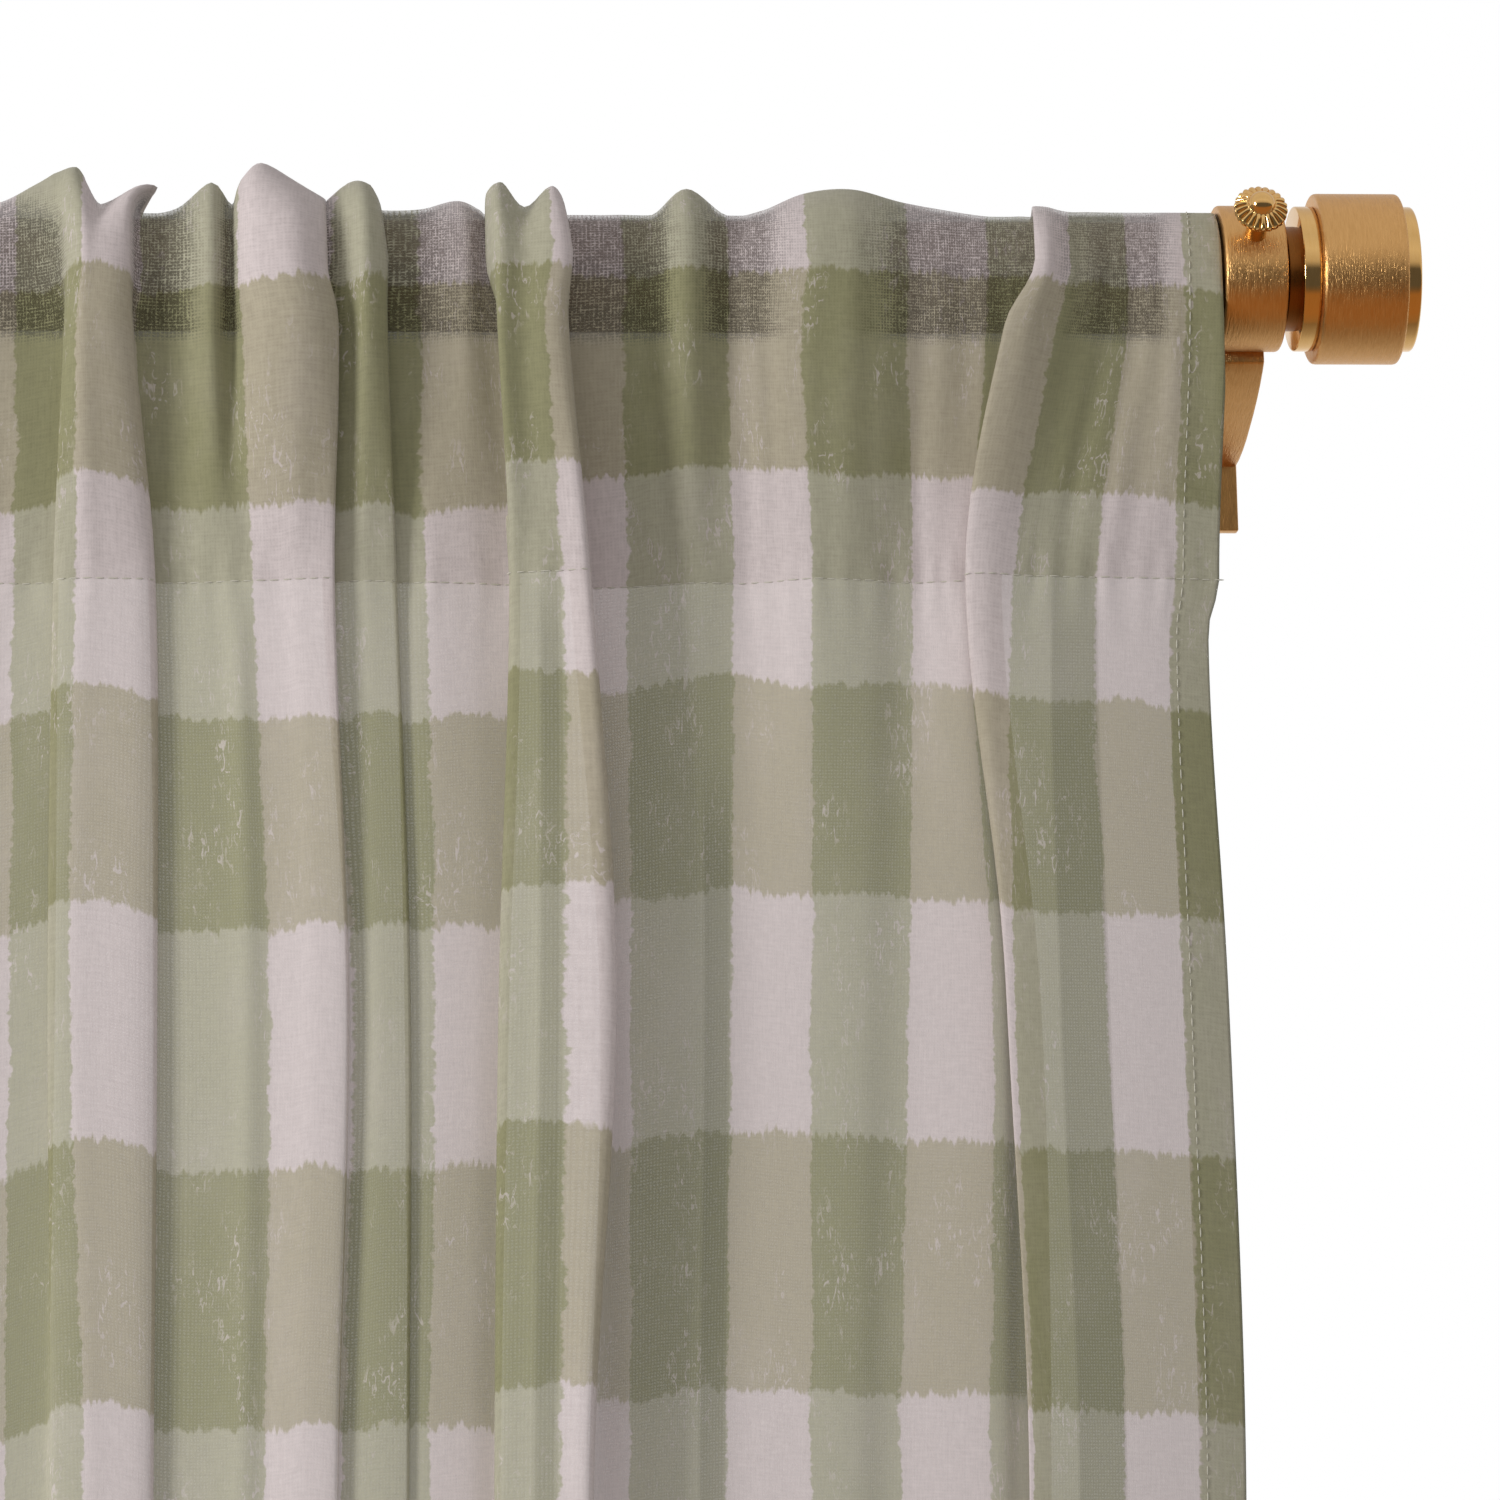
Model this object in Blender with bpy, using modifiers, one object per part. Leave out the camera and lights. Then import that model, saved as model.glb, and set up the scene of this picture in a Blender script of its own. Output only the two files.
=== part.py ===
"""A sheer check curtain on a brass rod, with its brackets, thumbscrews and finials.

The frame's origin is the centre of the right wall plate's back face. The rod runs along X,
the wall is at +Y and the room at -Y. Sizes in tables are in millimetres.
"""

import math

import bmesh
import bpy
from mathutils import Vector

MM = 0.001

# The rod and what holds it
BRACKET_SPACING = 836.0
PROJECTION = 50.0
ROD_HEIGHT = 14.0
ROD_RADIUS = 12.7
ROD_WALL = 1.2
ROD_PAST_COLLAR = 0.5
COLLAR_START, COLLAR_END = -6.0, 8.5
COLLAR_OUTER, COLLAR_INNER = 16.6, 13.1
COLLAR_ROUND = 0.8
# an arc's middle point, as a share of its radius from the sides
ARC_MIDDLE = 0.3
ROUND_STEPS = 40

# The bent bar from the collar to the wall, and the plate that it ends in
BAR_WIDTH = 11.0
PLATE_THICKNESS = 3.0
PLATE_TOP, PLATE_BOTTOM = 34.0, -34.0
PLATE_HOLE_RADIUS = 2.2
PLATE_HOLES = (25.0, -25.0)
CUTTER_SIDES = 24
# back from the rod's axis, down from it, height of the bar there
BAR_SECTIONS = (
    (1.0, 16.3, 1.2),
    (6.7, 20.4, 6.4),
    (15.7, 24.9, 8.4),
    (26.3, 28.7, 8.2),
    (37.0, 31.7, 7.6),
    (46.8, 32.9, 7.2),
)

# The thumbscrew
SCREW_TILT = 25.0
SCREW_X = 1.25
SCREW_GRIPS = 22
SCREW_HOLE = 2.8
SCREW_HOLE_START, SCREW_HOLE_END = 10.0, 20.0
# distance from the rod's axis, radius, depth of the grooves
SCREW_RINGS = (
    (13.1, 2.4, 0.0),
    (22.6, 2.4, 0.0),
    (23.2, 4.6, 0.0),
    (24.0, 5.9, 0.45),
    (27.0, 6.0, 0.55),
    (27.6, 5.4, 0.5),
    (27.4, 3.2, 0.0),
    (28.6, 3.0, 0.0),
    (29.8, 1.9, 0.0),
)

# The finial's turned outline: X from the plate's centre, radius
FINIAL_OUTLINE = (
    (-11.0, 10.4),
    (-10.2, 11.2),
    (9.3, 11.2),
    (9.3, 11.9),
    (12.0, 11.9),
    (12.0, 16.1),
    (12.5, 16.6),
    (15.5, 16.6),
    (15.9, 16.0),
    (16.2, 16.0),
    (16.2, 18.6),
    (17.0, 19.4),
    (35.0, 19.4),
    (35.8, 18.6),
    (35.8, 16.6),
    (38.6, 16.6),
    (39.1, 16.1),
)

# The cloth
SHEET = 1.2
FLAT_WIDTH = 1270.0
STRIPE = 26.0
FINISHED_TOP = 15.0
FINISHED_LENGTH = 2134.0
POCKET_DEPTH = 87.0
CLOTH_GAP = 0.6
ROD_CLEAR = 14.1

# The folds were measured square to a view from 8 degrees to the left and 12 below, so a
# fold that stands forward was seen further right, and so was a fold lower down.
SEEN_FORWARD = 0.14
SEEN_LEAN = 0.029
SEEN_START = 1.5

# Drop below the rod's axis of the five levels that the folds were measured at
LEVELS = (0.0, 16.0, 72.0, 168.0, 284.0)
SEEN = slice(2, 7)
FORWARD = slice(7, 11)
# Each row is one fold line, from the right edge to the left. flat: stripes from the edge,
# rise: top of the cloth above the rod's axis, seen: how far left it was seen at each
# level, forward: how far before the rod's axis it stands at the first four levels.
FOLDS = (
    # flat, rise, seen, seen, seen, seen, seen, forward, forward, forward, forward
    (0.0, 15, 2, 2, 4, 0, -3, 14, 14, 7, 6),
    (0.4, 15, 12, 12, 14, 11, 8, 15, 15, 8, 8),
    (1.4, 15, 25, 25, 32, 30, 26, 14, 14, 9, 9),
    (2.0, 15, 33, 35, 44, 43, 39, 16, 16, 12, 12),
    (2.4, 15, 38, 41, 51, 51, 47, 17, 19, 14, 13),
    (2.65, 16, 43, 48, 58, 53, 48, 20, 23, 15, 12),
    (2.9, 16, 46, 53, 62, 51, 47, 19, 22, 13, 8),
    (3.4, 14, 44, 48, 54, 45, 43, 15, 15, 4, 3),
    (3.9, 14, 49, 51, 56, 51, 50, 14, 14, 3, 2),
    (4.4, 14, 57, 57, 61, 56, 57, 14, 14, 4, 3),
    (5.4, 17, 75, 75, 74, 75, 77, 15, 15, 6, 6),
    (5.9, 20, 87, 87, 85, 86, 87, 20, 20, 10, 10),
    (6.4, 19, 98, 99, 97, 97, 97, 20, 20, 11, 9),
    (6.9, 15, 108, 108, 106, 106, 107, 16, 16, 7, 6),
    (7.4, 14, 116, 116, 115, 115, 116, 14, 14, 4, 4),
    (7.75, 20, 125, 125, 124, 123, 124, 19, 19, 5, 4),
    (8.1, 14, 133, 133, 132, 130, 131, 14, 14, 2, 2),
    (8.4, 14, 140, 140, 139, 138, 138, 14, 14, 1, 2),
    (8.95, 14, 152, 153, 150, 143, 145, 14, 14, 2, 4),
    (9.15, 19, 152, 153, 148, 142, 147, 20, 21, 8, 10),
    (9.4, 20, 156, 157, 155, 154, 154, 23, 25, 12, 13),
    (9.65, 15, 162, 162, 162, 162, 162, 21, 23, 12, 12),
    (9.9, 21, 168, 168, 167, 169, 169, 23, 24, 11, 11),
    (10.15, 15, 167, 166, 165, 167, 168, 16, 16, 4, 5),
    (10.4, 14, 168, 167, 166, 168, 169, 14, 14, 2, 3),
    (11.0, 17, 177, 177, 177, 176, 176, 16, 16, 4, 3),
    (11.4, 15, 186, 186, 187, 185, 185, 15, 15, 6, 5),
    (11.65, 15, 193, 193, 192, 190, 189, 14, 14, 5, 6),
    (11.8, 17, 194, 194, 194, 192, 191, 18, 19, 8, 8),
    (12.05, 21, 198, 198, 198, 197, 196, 22, 23, 8, 8),
    (12.3, 21, 202, 202, 203, 201, 202, 19, 19, 5, 5),
    (12.45, 18, 207, 207, 207, 204, 205, 15, 15, 5, 4),
    (12.6, 19, 206, 206, 208, 207, 208, 20, 21, 9, 7),
    (12.9, 26, 213, 213, 214, 212, 213, 25, 27, 13, 11),
    (13.15, 26, 220, 220, 220, 217, 218, 23, 25, 12, 11),
    (13.4, 20, 226, 226, 225, 222, 222, 18, 18, 8, 8),
    (13.6, 17, 229, 229, 229, 227, 227, 15, 15, 5, 5),
    (13.8, 21, 233, 233, 234, 232, 232, 19, 19, 5, 4),
    (14.1, 15, 241, 241, 241, 240, 240, 15, 15, 3, 2),
    (14.4, 14, 247, 247, 248, 248, 248, 14, 14, 2, 2),
    (14.65, 15, 251, 252, 251, 252, 252, 14, 14, 3, 4),
    (14.8, 20, 252, 252, 253, 255, 254, 19, 20, 7, 7),
    (15.1, 17, 258, 258, 259, 261, 259, 22, 24, 10, 9),
    (15.4, 20, 264, 264, 264, 267, 264, 22, 23, 10, 9),
    (15.65, 25, 266, 266, 269, 272, 271, 19, 19, 7, 7),
    (15.9, 20, 265, 264, 268, 270, 272, 15, 15, 3, 3),
    (16.2, 16, 272, 272, 274, 276, 278, 14, 14, 2, 2),
    (16.6, 14, 282, 282, 283, 285, 285, 15, 15, 3, 3),
)
# The rest of the panel, out of the photo, hangs in plainer folds
PLAIN_FOLDS = 13
PLAIN_ROWS = 52
PLAIN_CREST = 9.0
PLAIN_SWAY = 1.5
PLAIN_SIZE_LOW, PLAIN_SIZE_SWING, PLAIN_SIZE_TURNS = 0.75, 0.25, 5.3
PLAIN_SHIFT, PLAIN_SHIFT_TURNS = 0.14, 3.0
# the folds fade out over the last part of the panel, before its left edge
PLAIN_END_SHARE = 1 / 6
PLAIN_TOP, PLAIN_POCKET, PLAIN_TAIL = 14.0, 14.0, 3.0
LEFT_EDGE = (15, 14, 14, 6, 5)

# Stops up the front of one column, from the hem to the seam and on to the rod's axis, then
# down the back to the seam, as drops below the rod's axis
TAIL_DROPS = (1500.0, 900.0, 450.0, 284.0, 220.0, 168.0, 130.0, 96.0)
POCKET_FRONT_DROPS = (54.0, 34.0, 16.0, 0.0)
ARCH_STEPS = 8
POCKET_BACK_DROPS = (0.0, 20.0, 46.0)
SEAM_STEP = 3.0
# how much of the front's depth the back of the pocket has
BACK_SHARE = 0.4
# over the rod the folds spread out: by how much at its height, and how soon over its top
GATHER_SPREAD = 0.35
ARCH_SPREAD = 1.6
SPREAD_STEP = 0.8
BACK_BEND = 1.4

COLLECTION = "sheer_curtain_on_rod"


def clear_scene():
    for item in list(bpy.data.objects):
        bpy.data.objects.remove(item)


def new_collection(name):
    group = bpy.data.collections.new(name)
    bpy.context.scene.collection.children.link(group)
    return group


def new_material(name, colour, roughness, metallic):
    material = bpy.data.materials.new(name)
    material.use_nodes = True
    shader = material.node_tree.nodes["Principled BSDF"]
    shader.inputs["Base Color"].default_value = (*colour, 1.0)
    shader.inputs["Roughness"].default_value = roughness
    shader.inputs["Metallic"].default_value = metallic
    return material


def new_object(name, data, group, material=None):
    item = bpy.data.objects.new(name, data)
    group.objects.link(item)
    if material:
        data.materials.append(material)
    return item


def plain_rows():
    """Rows like those of FOLDS for the part of the panel that the photo leaves out."""
    start_flat, start_seen = FOLDS[-1][0], FOLDS[-1][2]
    end_flat = FLAT_WIDTH / STRIPE - FOLDS[1][0]
    end_seen = BRACKET_SPACING - start_offset() - FOLDS[1][2]
    rows = []
    for step in range(1, PLAIN_ROWS + 1):
        share = step / PLAIN_ROWS
        shift = PLAIN_SHIFT * math.sin(math.tau * PLAIN_SHIFT_TURNS * share)
        turn = math.tau * (share * PLAIN_FOLDS + shift)
        size = PLAIN_SIZE_LOW + PLAIN_SIZE_SWING * math.sin(math.tau * PLAIN_SIZE_TURNS * share)
        left = min(1.0, (1.0 - share) / PLAIN_END_SHARE)
        crest = max(0.0, -math.cos(turn)) * size * math.sin(math.pi / 2 * left)
        high = PLAIN_CREST * crest
        seen = start_seen + share * (end_seen - start_seen)
        sway = PLAIN_SWAY * math.sin(turn) * (1.0 - share)
        places = (seen, seen, seen + sway, seen + 1.5 * sway, seen + sway)
        depths = (PLAIN_POCKET + high, PLAIN_POCKET + high, PLAIN_TAIL + high, PLAIN_TAIL + high)
        flat = start_flat + share * (end_flat - start_flat)
        rows.append((flat, PLAIN_TOP + high, *places, *depths))
    return rows


def start_offset():
    """X of the panel's right edge from the right plate's centre, as a positive number."""
    return -COLLAR_START + CLOTH_GAP


def fold_rows():
    edge_flat = FLAT_WIDTH / STRIPE
    edge_seen = BRACKET_SPACING - start_offset()
    last = (edge_flat, LEFT_EDGE[0], *[edge_seen] * len(LEVELS), *LEFT_EDGE[1:])
    return list(FOLDS) + plain_rows() + [last]


def at_level(values, drop):
    """A smooth curve through the values at LEVELS, level above the first and below the last."""
    if drop <= LEVELS[0]:
        return values[0]
    if drop >= LEVELS[len(values) - 1]:
        return values[-1]
    i = next(n for n in range(len(values) - 1) if drop < LEVELS[n + 1])
    span = LEVELS[i + 1] - LEVELS[i]
    slopes = []
    for n in (i, i + 1):
        if 0 < n < len(values) - 1:
            slopes.append((values[n + 1] - values[n - 1]) / (LEVELS[n + 1] - LEVELS[n - 1]))
        else:
            slopes.append(0.0)
    t = (drop - LEVELS[i]) / span
    return (
        values[i] * (1 + 2 * t) * (1 - t) ** 2
        + slopes[0] * span * t * (1 - t) ** 2
        + values[i + 1] * t * t * (3 - 2 * t)
        + slopes[1] * span * t * t * (t - 1)
    )


def cloth_x(seen, drop, forward):
    """Real X of a point of the cloth, from where it was seen."""
    width = BRACKET_SPACING - start_offset()
    fade = 1.0 - min(1.0, max(0.0, seen / width)) ** 4
    lean = SEEN_LEAN * min(drop, LEVELS[-1])
    x = -seen - SEEN_START - (SEEN_FORWARD * forward + lean) * fade
    return min(max(x, -width), -start_offset())


def relaxed_seen(rows):
    """The seen places at the rod made to run steadily left, for the arch and the back."""
    out, furthest = [], -1.0
    for row in rows:
        furthest = max(furthest + SPREAD_STEP, row[SEEN][0])
        out.append(furthest)
    return out


def column(row, relaxed):
    """Middle of the sheet up one fold line: tail, seam, pocket front, arch, pocket back."""
    hem_drop = FINISHED_LENGTH - FINISHED_TOP
    seam_drop = POCKET_DEPTH - FINISHED_TOP

    def front(drop):
        forward = at_level(row[FORWARD], drop)
        if drop < ROD_CLEAR:
            forward = max(forward, ROD_CLEAR)
        share = max(0.0, 1.0 - drop / seam_drop) * GATHER_SPREAD
        seen = at_level(row[SEEN], drop) * (1 - share) + relaxed * share
        return Vector((cloth_x(seen, drop, forward), -forward, -drop)), seen

    points = [front(drop)[0] for drop in (hem_drop, *TAIL_DROPS)]
    seam = front(seam_drop)[0]
    points.append(seam)
    points += [front(drop)[0] for drop in POCKET_FRONT_DROPS]
    seen_front = front(0.0)[1]
    half_front = -points[-1].y
    half_back = ROD_CLEAR + BACK_SHARE * (half_front - ROD_CLEAR)
    rise = max(row[1], ROD_CLEAR)
    x_back = cloth_x(relaxed, 0.0, -half_back)
    for step in range(1, ARCH_STEPS):
        turn = math.pi * step / ARCH_STEPS
        half = half_front if turn < math.pi / 2 else half_back
        forward = half * math.cos(turn)
        share = min(1.0, ARCH_SPREAD * step / ARCH_STEPS)
        x = cloth_x(seen_front + (relaxed - seen_front) * share, 0.0, forward)
        points.append(Vector((x, -forward, rise * math.sin(turn))))
    for drop in POCKET_BACK_DROPS:
        share = drop / seam_drop
        y = half_back + (seam.y + SHEET - half_back) * share ** BACK_BEND
        points.append(Vector((x_back + (seam.x - x_back) * share, y, -drop)))
    return points, len(TAIL_DROPS) + 1


def grid_normals(grid):
    """Unit normals of the sheet, pointing out of the pocket."""
    last_u, last_v = len(grid) - 1, len(grid[0]) - 1
    normals = []
    for i, line in enumerate(grid):
        row = []
        for k in range(last_v + 1):
            along = grid[min(i + 1, last_u)][k] - grid[max(i - 1, 0)][k]
            up = line[min(k + 1, last_v)] - line[max(k - 1, 0)]
            row.append(up.cross(along).normalized())
        normals.append(row)
    return normals


def make_cloth(group, material):
    rows = fold_rows()
    relaxed = relaxed_seen(rows)
    columns = [column(row, place) for row, place in zip(rows, relaxed)]
    seam_at = columns[0][1]
    grid = [points for points, _ in columns]
    normals = grid_normals(grid)
    half = SHEET / 2
    mesh = bmesh.new()
    place = Vector((0.0, -PROJECTION, ROD_HEIGHT))

    def vert(point):
        return mesh.verts.new((point + place) * MM)

    outer, inner = [], []
    for points, outward in zip(grid, normals):
        ring = [vert(p + n * half) for p, n in zip(points, outward)]
        seam, seam_out = points[seam_at], outward[seam_at]
        ring.append(vert(seam - seam_out * 3 * half))
        low = seam + Vector((0.0, 0.0, -SEAM_STEP))
        ring.append(vert(low - seam_out * half))
        for k in range(seam_at - 1, -1, -1):
            ring.append(vert(points[k] - outward[k] * half))
        outer.append(ring)
        loop = [vert(seam - seam_out * half)]
        for k in range(seam_at + 1, len(points)):
            loop.append(vert(points[k] - outward[k] * half))
        inner.append(loop)

    count, loop_count = len(outer[0]), len(inner[0])
    for i in range(len(rows) - 1):
        for k in range(count):
            n = (k + 1) % count
            mesh.faces.new((outer[i][k], outer[i][n], outer[i + 1][n], outer[i + 1][k]))
        for k in range(loop_count):
            n = (k + 1) % loop_count
            mesh.faces.new((inner[i][k], inner[i + 1][k], inner[i + 1][n], inner[i][n]))
    pocket_end = seam_at + loop_count
    for i in (0, len(rows) - 1):
        ring, loop = outer[i], inner[i]
        for k in range(seam_at, pocket_end - 1):
            a, b = loop[k - seam_at], loop[k - seam_at + 1]
            mesh.faces.new((ring[k], ring[k + 1], b, a))
        mesh.faces.new((ring[pocket_end - 1], ring[pocket_end], loop[0], loop[-1]))
        mesh.faces.new((ring[pocket_end], ring[pocket_end + 1], ring[seam_at], loop[0]))
        for k in range(seam_at):
            low, high = count - 1 - k, count - 2 - k
            mesh.faces.new((ring[k], ring[k + 1], ring[high], ring[low]))
    bmesh.ops.recalc_face_normals(mesh, faces=mesh.faces)
    data = bpy.data.meshes.new("curtain_panel")
    mesh.to_mesh(data)
    mesh.free()
    data.shade_smooth()
    return new_object("curtain_panel", data, group, material)


def turned(name, outline, closed, group, material):
    """A shape turned about the rod's axis from (x, radius) pairs that run left to right."""
    mesh = bmesh.new()
    verts = [mesh.verts.new((r * MM, 0.0, x * MM)) for x, r in reversed(outline)]
    for a, b in zip(verts, verts[1:]):
        mesh.edges.new((a, b))
    if closed:
        mesh.edges.new((verts[-1], verts[0]))
    data = bpy.data.meshes.new(name)
    mesh.to_mesh(data)
    mesh.free()
    item = new_object(name, data, group, material)
    screw = item.modifiers.new("turn", "SCREW")
    screw.axis = "Z"
    screw.steps = screw.render_steps = ROUND_STEPS
    screw.use_merge_vertices = True
    screw.merge_threshold = 0.00001
    screw.use_smooth_shade = True
    item.rotation_euler = (0.0, math.pi / 2, 0.0)
    item.location = Vector((0.0, -PROJECTION, ROD_HEIGHT)) * MM
    return item


def make_mesh_of(item):
    """The item's evaluated shape as a plain mesh in world space, under the same name."""
    bpy.context.view_layer.update()
    ready = item.evaluated_get(bpy.context.evaluated_depsgraph_get())
    data = bpy.data.meshes.new_from_object(ready)
    data.transform(item.matrix_world)
    return data


def mirrored(data, name, group, material):
    """A copy of a right-hand piece's mesh, mirrored to the rod's left end."""
    mesh = bmesh.new()
    mesh.from_mesh(data)
    for v in mesh.verts:
        v.co.x = -BRACKET_SPACING * MM - v.co.x
    bmesh.ops.reverse_faces(mesh, faces=mesh.faces)
    copy = bpy.data.meshes.new(name)
    mesh.to_mesh(copy)
    mesh.free()
    copy.materials.clear()
    return new_object(name, copy, group, material)


def make_rod(group, material):
    end = COLLAR_END + ROD_PAST_COLLAR
    start = -BRACKET_SPACING - end
    inner = ROD_RADIUS - ROD_WALL
    outline = [(start, ROD_RADIUS), (end, ROD_RADIUS), (end, inner), (start, inner)]
    return turned("rod", outline, True, group, material)


def collar_outline():
    soft = COLLAR_ROUND
    return [
        (COLLAR_START, COLLAR_OUTER - soft),
        (COLLAR_START + soft * ARC_MIDDLE, COLLAR_OUTER - soft * ARC_MIDDLE),
        (COLLAR_START + soft, COLLAR_OUTER),
        (COLLAR_END - soft, COLLAR_OUTER),
        (COLLAR_END - soft * ARC_MIDDLE, COLLAR_OUTER - soft * ARC_MIDDLE),
        (COLLAR_END, COLLAR_OUTER - soft),
        (COLLAR_END, COLLAR_INNER),
        (COLLAR_START, COLLAR_INNER),
    ]


def side_outline():
    """The bar and the plate seen from the right, as (y, z) from the plate's back centre."""
    under = [(back - PROJECTION, ROD_HEIGHT - down) for back, down, _ in BAR_SECTIONS]
    over = [(back - PROJECTION, ROD_HEIGHT - down + high) for back, down, high in BAR_SECTIONS]
    plate_front = -PLATE_THICKNESS
    outline = under[:-1]
    outline.append((plate_front, under[-1][1]))
    outline.append((plate_front, PLATE_BOTTOM))
    outline.append((0.0, PLATE_BOTTOM))
    outline.append((0.0, PLATE_TOP))
    outline.append((plate_front, PLATE_TOP))
    outline.append((plate_front, over[-1][1]))
    return outline + over[-2::-1]


def make_bar(group):
    outline = side_outline()
    mesh = bmesh.new()
    side = -BAR_WIDTH / 2
    face = mesh.faces.new([mesh.verts.new(Vector((side, y, z)) * MM) for y, z in outline])
    grown = bmesh.ops.extrude_face_region(mesh, geom=[face])
    moved = [item for item in grown["geom"] if isinstance(item, bmesh.types.BMVert)]
    bmesh.ops.translate(mesh, verts=moved, vec=(BAR_WIDTH * MM, 0.0, 0.0))
    bmesh.ops.recalc_face_normals(mesh, faces=mesh.faces)
    data = bpy.data.meshes.new("bar")
    mesh.to_mesh(data)
    mesh.free()
    return new_object("bar_for_union", data, group)


def screw_direction():
    tilt = math.radians(SCREW_TILT)
    return Vector((0.0, -math.cos(tilt), math.sin(tilt)))


def make_cutter(name, radius, start, end, group):
    """A plain round cutter between two points in millimetres."""
    mesh = bmesh.new()
    bmesh.ops.create_cone(
        mesh, cap_ends=True, segments=CUTTER_SIDES, radius1=radius * MM, radius2=radius * MM,
        depth=(end - start).length * MM,
    )
    data = bpy.data.meshes.new(name)
    mesh.to_mesh(data)
    mesh.free()
    item = new_object(name, data, group)
    item.rotation_euler = (end - start).to_track_quat("Z", "Y").to_euler()
    item.location = (start + end) / 2 * MM
    hide_cutter(item)
    return item


def hide_cutter(item):
    item.hide_render = True
    item.display_type = "WIRE"


def add_boolean(item, operation, other):
    change = item.modifiers.new(operation.lower(), "BOOLEAN")
    change.operation = operation
    change.solver = "EXACT"
    change.object = other


def make_bracket(group, cutters, material):
    ring = turned("bracket_ring", collar_outline(), True, cutters, material)
    data = make_mesh_of(ring)
    bpy.data.objects.remove(ring)
    bracket = new_object("bracket_right", data, group)
    bar = make_bar(cutters)
    hide_cutter(bar)
    add_boolean(bracket, "UNION", bar)
    axis_point = Vector((SCREW_X, -PROJECTION, ROD_HEIGHT))
    aim = screw_direction()
    hole = make_cutter(
        "screw_hole", SCREW_HOLE, axis_point + aim * SCREW_HOLE_START,
        axis_point + aim * SCREW_HOLE_END, cutters,
    )
    add_boolean(bracket, "DIFFERENCE", hole)
    for z in PLATE_HOLES:
        plate_hole = make_cutter(
            "plate_hole", PLATE_HOLE_RADIUS, Vector((0.0, -2 * PLATE_THICKNESS, z)),
            Vector((0.0, PLATE_THICKNESS, z)), cutters,
        )
        add_boolean(bracket, "DIFFERENCE", plate_hole)
    return bracket


def make_thumbscrew(group, material):
    """Rings of points up the screw's axis, every other point of a grooved ring drawn in."""
    aim = screw_direction()
    side = Vector((1.0, 0.0, 0.0))
    across = aim.cross(side)
    base = Vector((SCREW_X, -PROJECTION, ROD_HEIGHT))
    points = 2 * SCREW_GRIPS
    mesh = bmesh.new()
    rings = []
    for distance, radius, groove in SCREW_RINGS:
        ring = []
        for n in range(points):
            turn = math.tau * n / points
            r = radius - groove * (n % 2)
            spot = base + aim * distance + (side * math.cos(turn) + across * math.sin(turn)) * r
            ring.append(mesh.verts.new(spot * MM))
        rings.append(ring)
    for low, high in zip(rings, rings[1:]):
        for n in range(points):
            m = (n + 1) % points
            mesh.faces.new((low[n], low[m], high[m], high[n]))
    mesh.faces.new(reversed(rings[0]))
    mesh.faces.new(rings[-1])
    bmesh.ops.recalc_face_normals(mesh, faces=mesh.faces)
    data = bpy.data.meshes.new("thumbscrew_right")
    mesh.to_mesh(data)
    mesh.free()
    return new_object("thumbscrew_right", data, group, material)


def make_finial(group, material):
    outline = [(FINIAL_OUTLINE[0][0], 0.0), *FINIAL_OUTLINE, (FINIAL_OUTLINE[-1][0], 0.0)]
    return turned("finial_right", outline, False, group, material)


def main():
    clear_scene()
    group = new_collection(COLLECTION)
    cutters = new_collection("cutters")
    sheer = new_material("sage_check_sheer", (0.55, 0.56, 0.47), 0.9, 0.0)
    brushed = new_material("brushed_brass", (0.68, 0.42, 0.19), 0.35, 1.0)
    polished = new_material("polished_brass", (0.78, 0.55, 0.26), 0.18, 1.0)
    make_cloth(group, sheer)
    make_rod(group, brushed)
    right_pieces = (
        (make_bracket(group, cutters, brushed), "bracket_left", brushed),
        (make_thumbscrew(group, polished), "thumbscrew_left", polished),
        (make_finial(group, brushed), "finial_left", brushed),
    )
    for piece, left_name, material in right_pieces:
        mirrored(make_mesh_of(piece), left_name, group, material)


main()
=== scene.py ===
import math

import bmesh
import bpy
from mathutils import Matrix, Vector, noise


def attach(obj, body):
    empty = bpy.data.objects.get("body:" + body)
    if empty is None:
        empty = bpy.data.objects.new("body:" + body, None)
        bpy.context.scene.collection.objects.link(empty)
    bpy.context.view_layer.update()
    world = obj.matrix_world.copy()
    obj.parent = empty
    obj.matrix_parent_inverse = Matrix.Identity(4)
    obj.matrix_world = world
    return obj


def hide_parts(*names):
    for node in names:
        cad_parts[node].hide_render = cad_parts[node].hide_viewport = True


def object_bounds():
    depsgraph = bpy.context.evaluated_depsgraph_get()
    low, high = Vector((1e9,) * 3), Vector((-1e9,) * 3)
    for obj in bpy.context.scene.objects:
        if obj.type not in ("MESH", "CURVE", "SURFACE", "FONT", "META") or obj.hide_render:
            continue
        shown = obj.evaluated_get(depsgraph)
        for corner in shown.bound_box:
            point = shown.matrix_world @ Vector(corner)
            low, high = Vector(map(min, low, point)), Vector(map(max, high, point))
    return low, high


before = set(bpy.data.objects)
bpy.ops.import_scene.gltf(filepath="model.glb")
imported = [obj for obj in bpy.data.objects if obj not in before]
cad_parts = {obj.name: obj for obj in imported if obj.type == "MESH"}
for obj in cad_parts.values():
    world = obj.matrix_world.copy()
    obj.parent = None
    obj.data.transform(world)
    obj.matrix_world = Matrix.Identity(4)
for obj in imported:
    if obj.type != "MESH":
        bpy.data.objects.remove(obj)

cad_low, cad_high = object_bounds()
MM = 0.001


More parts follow.
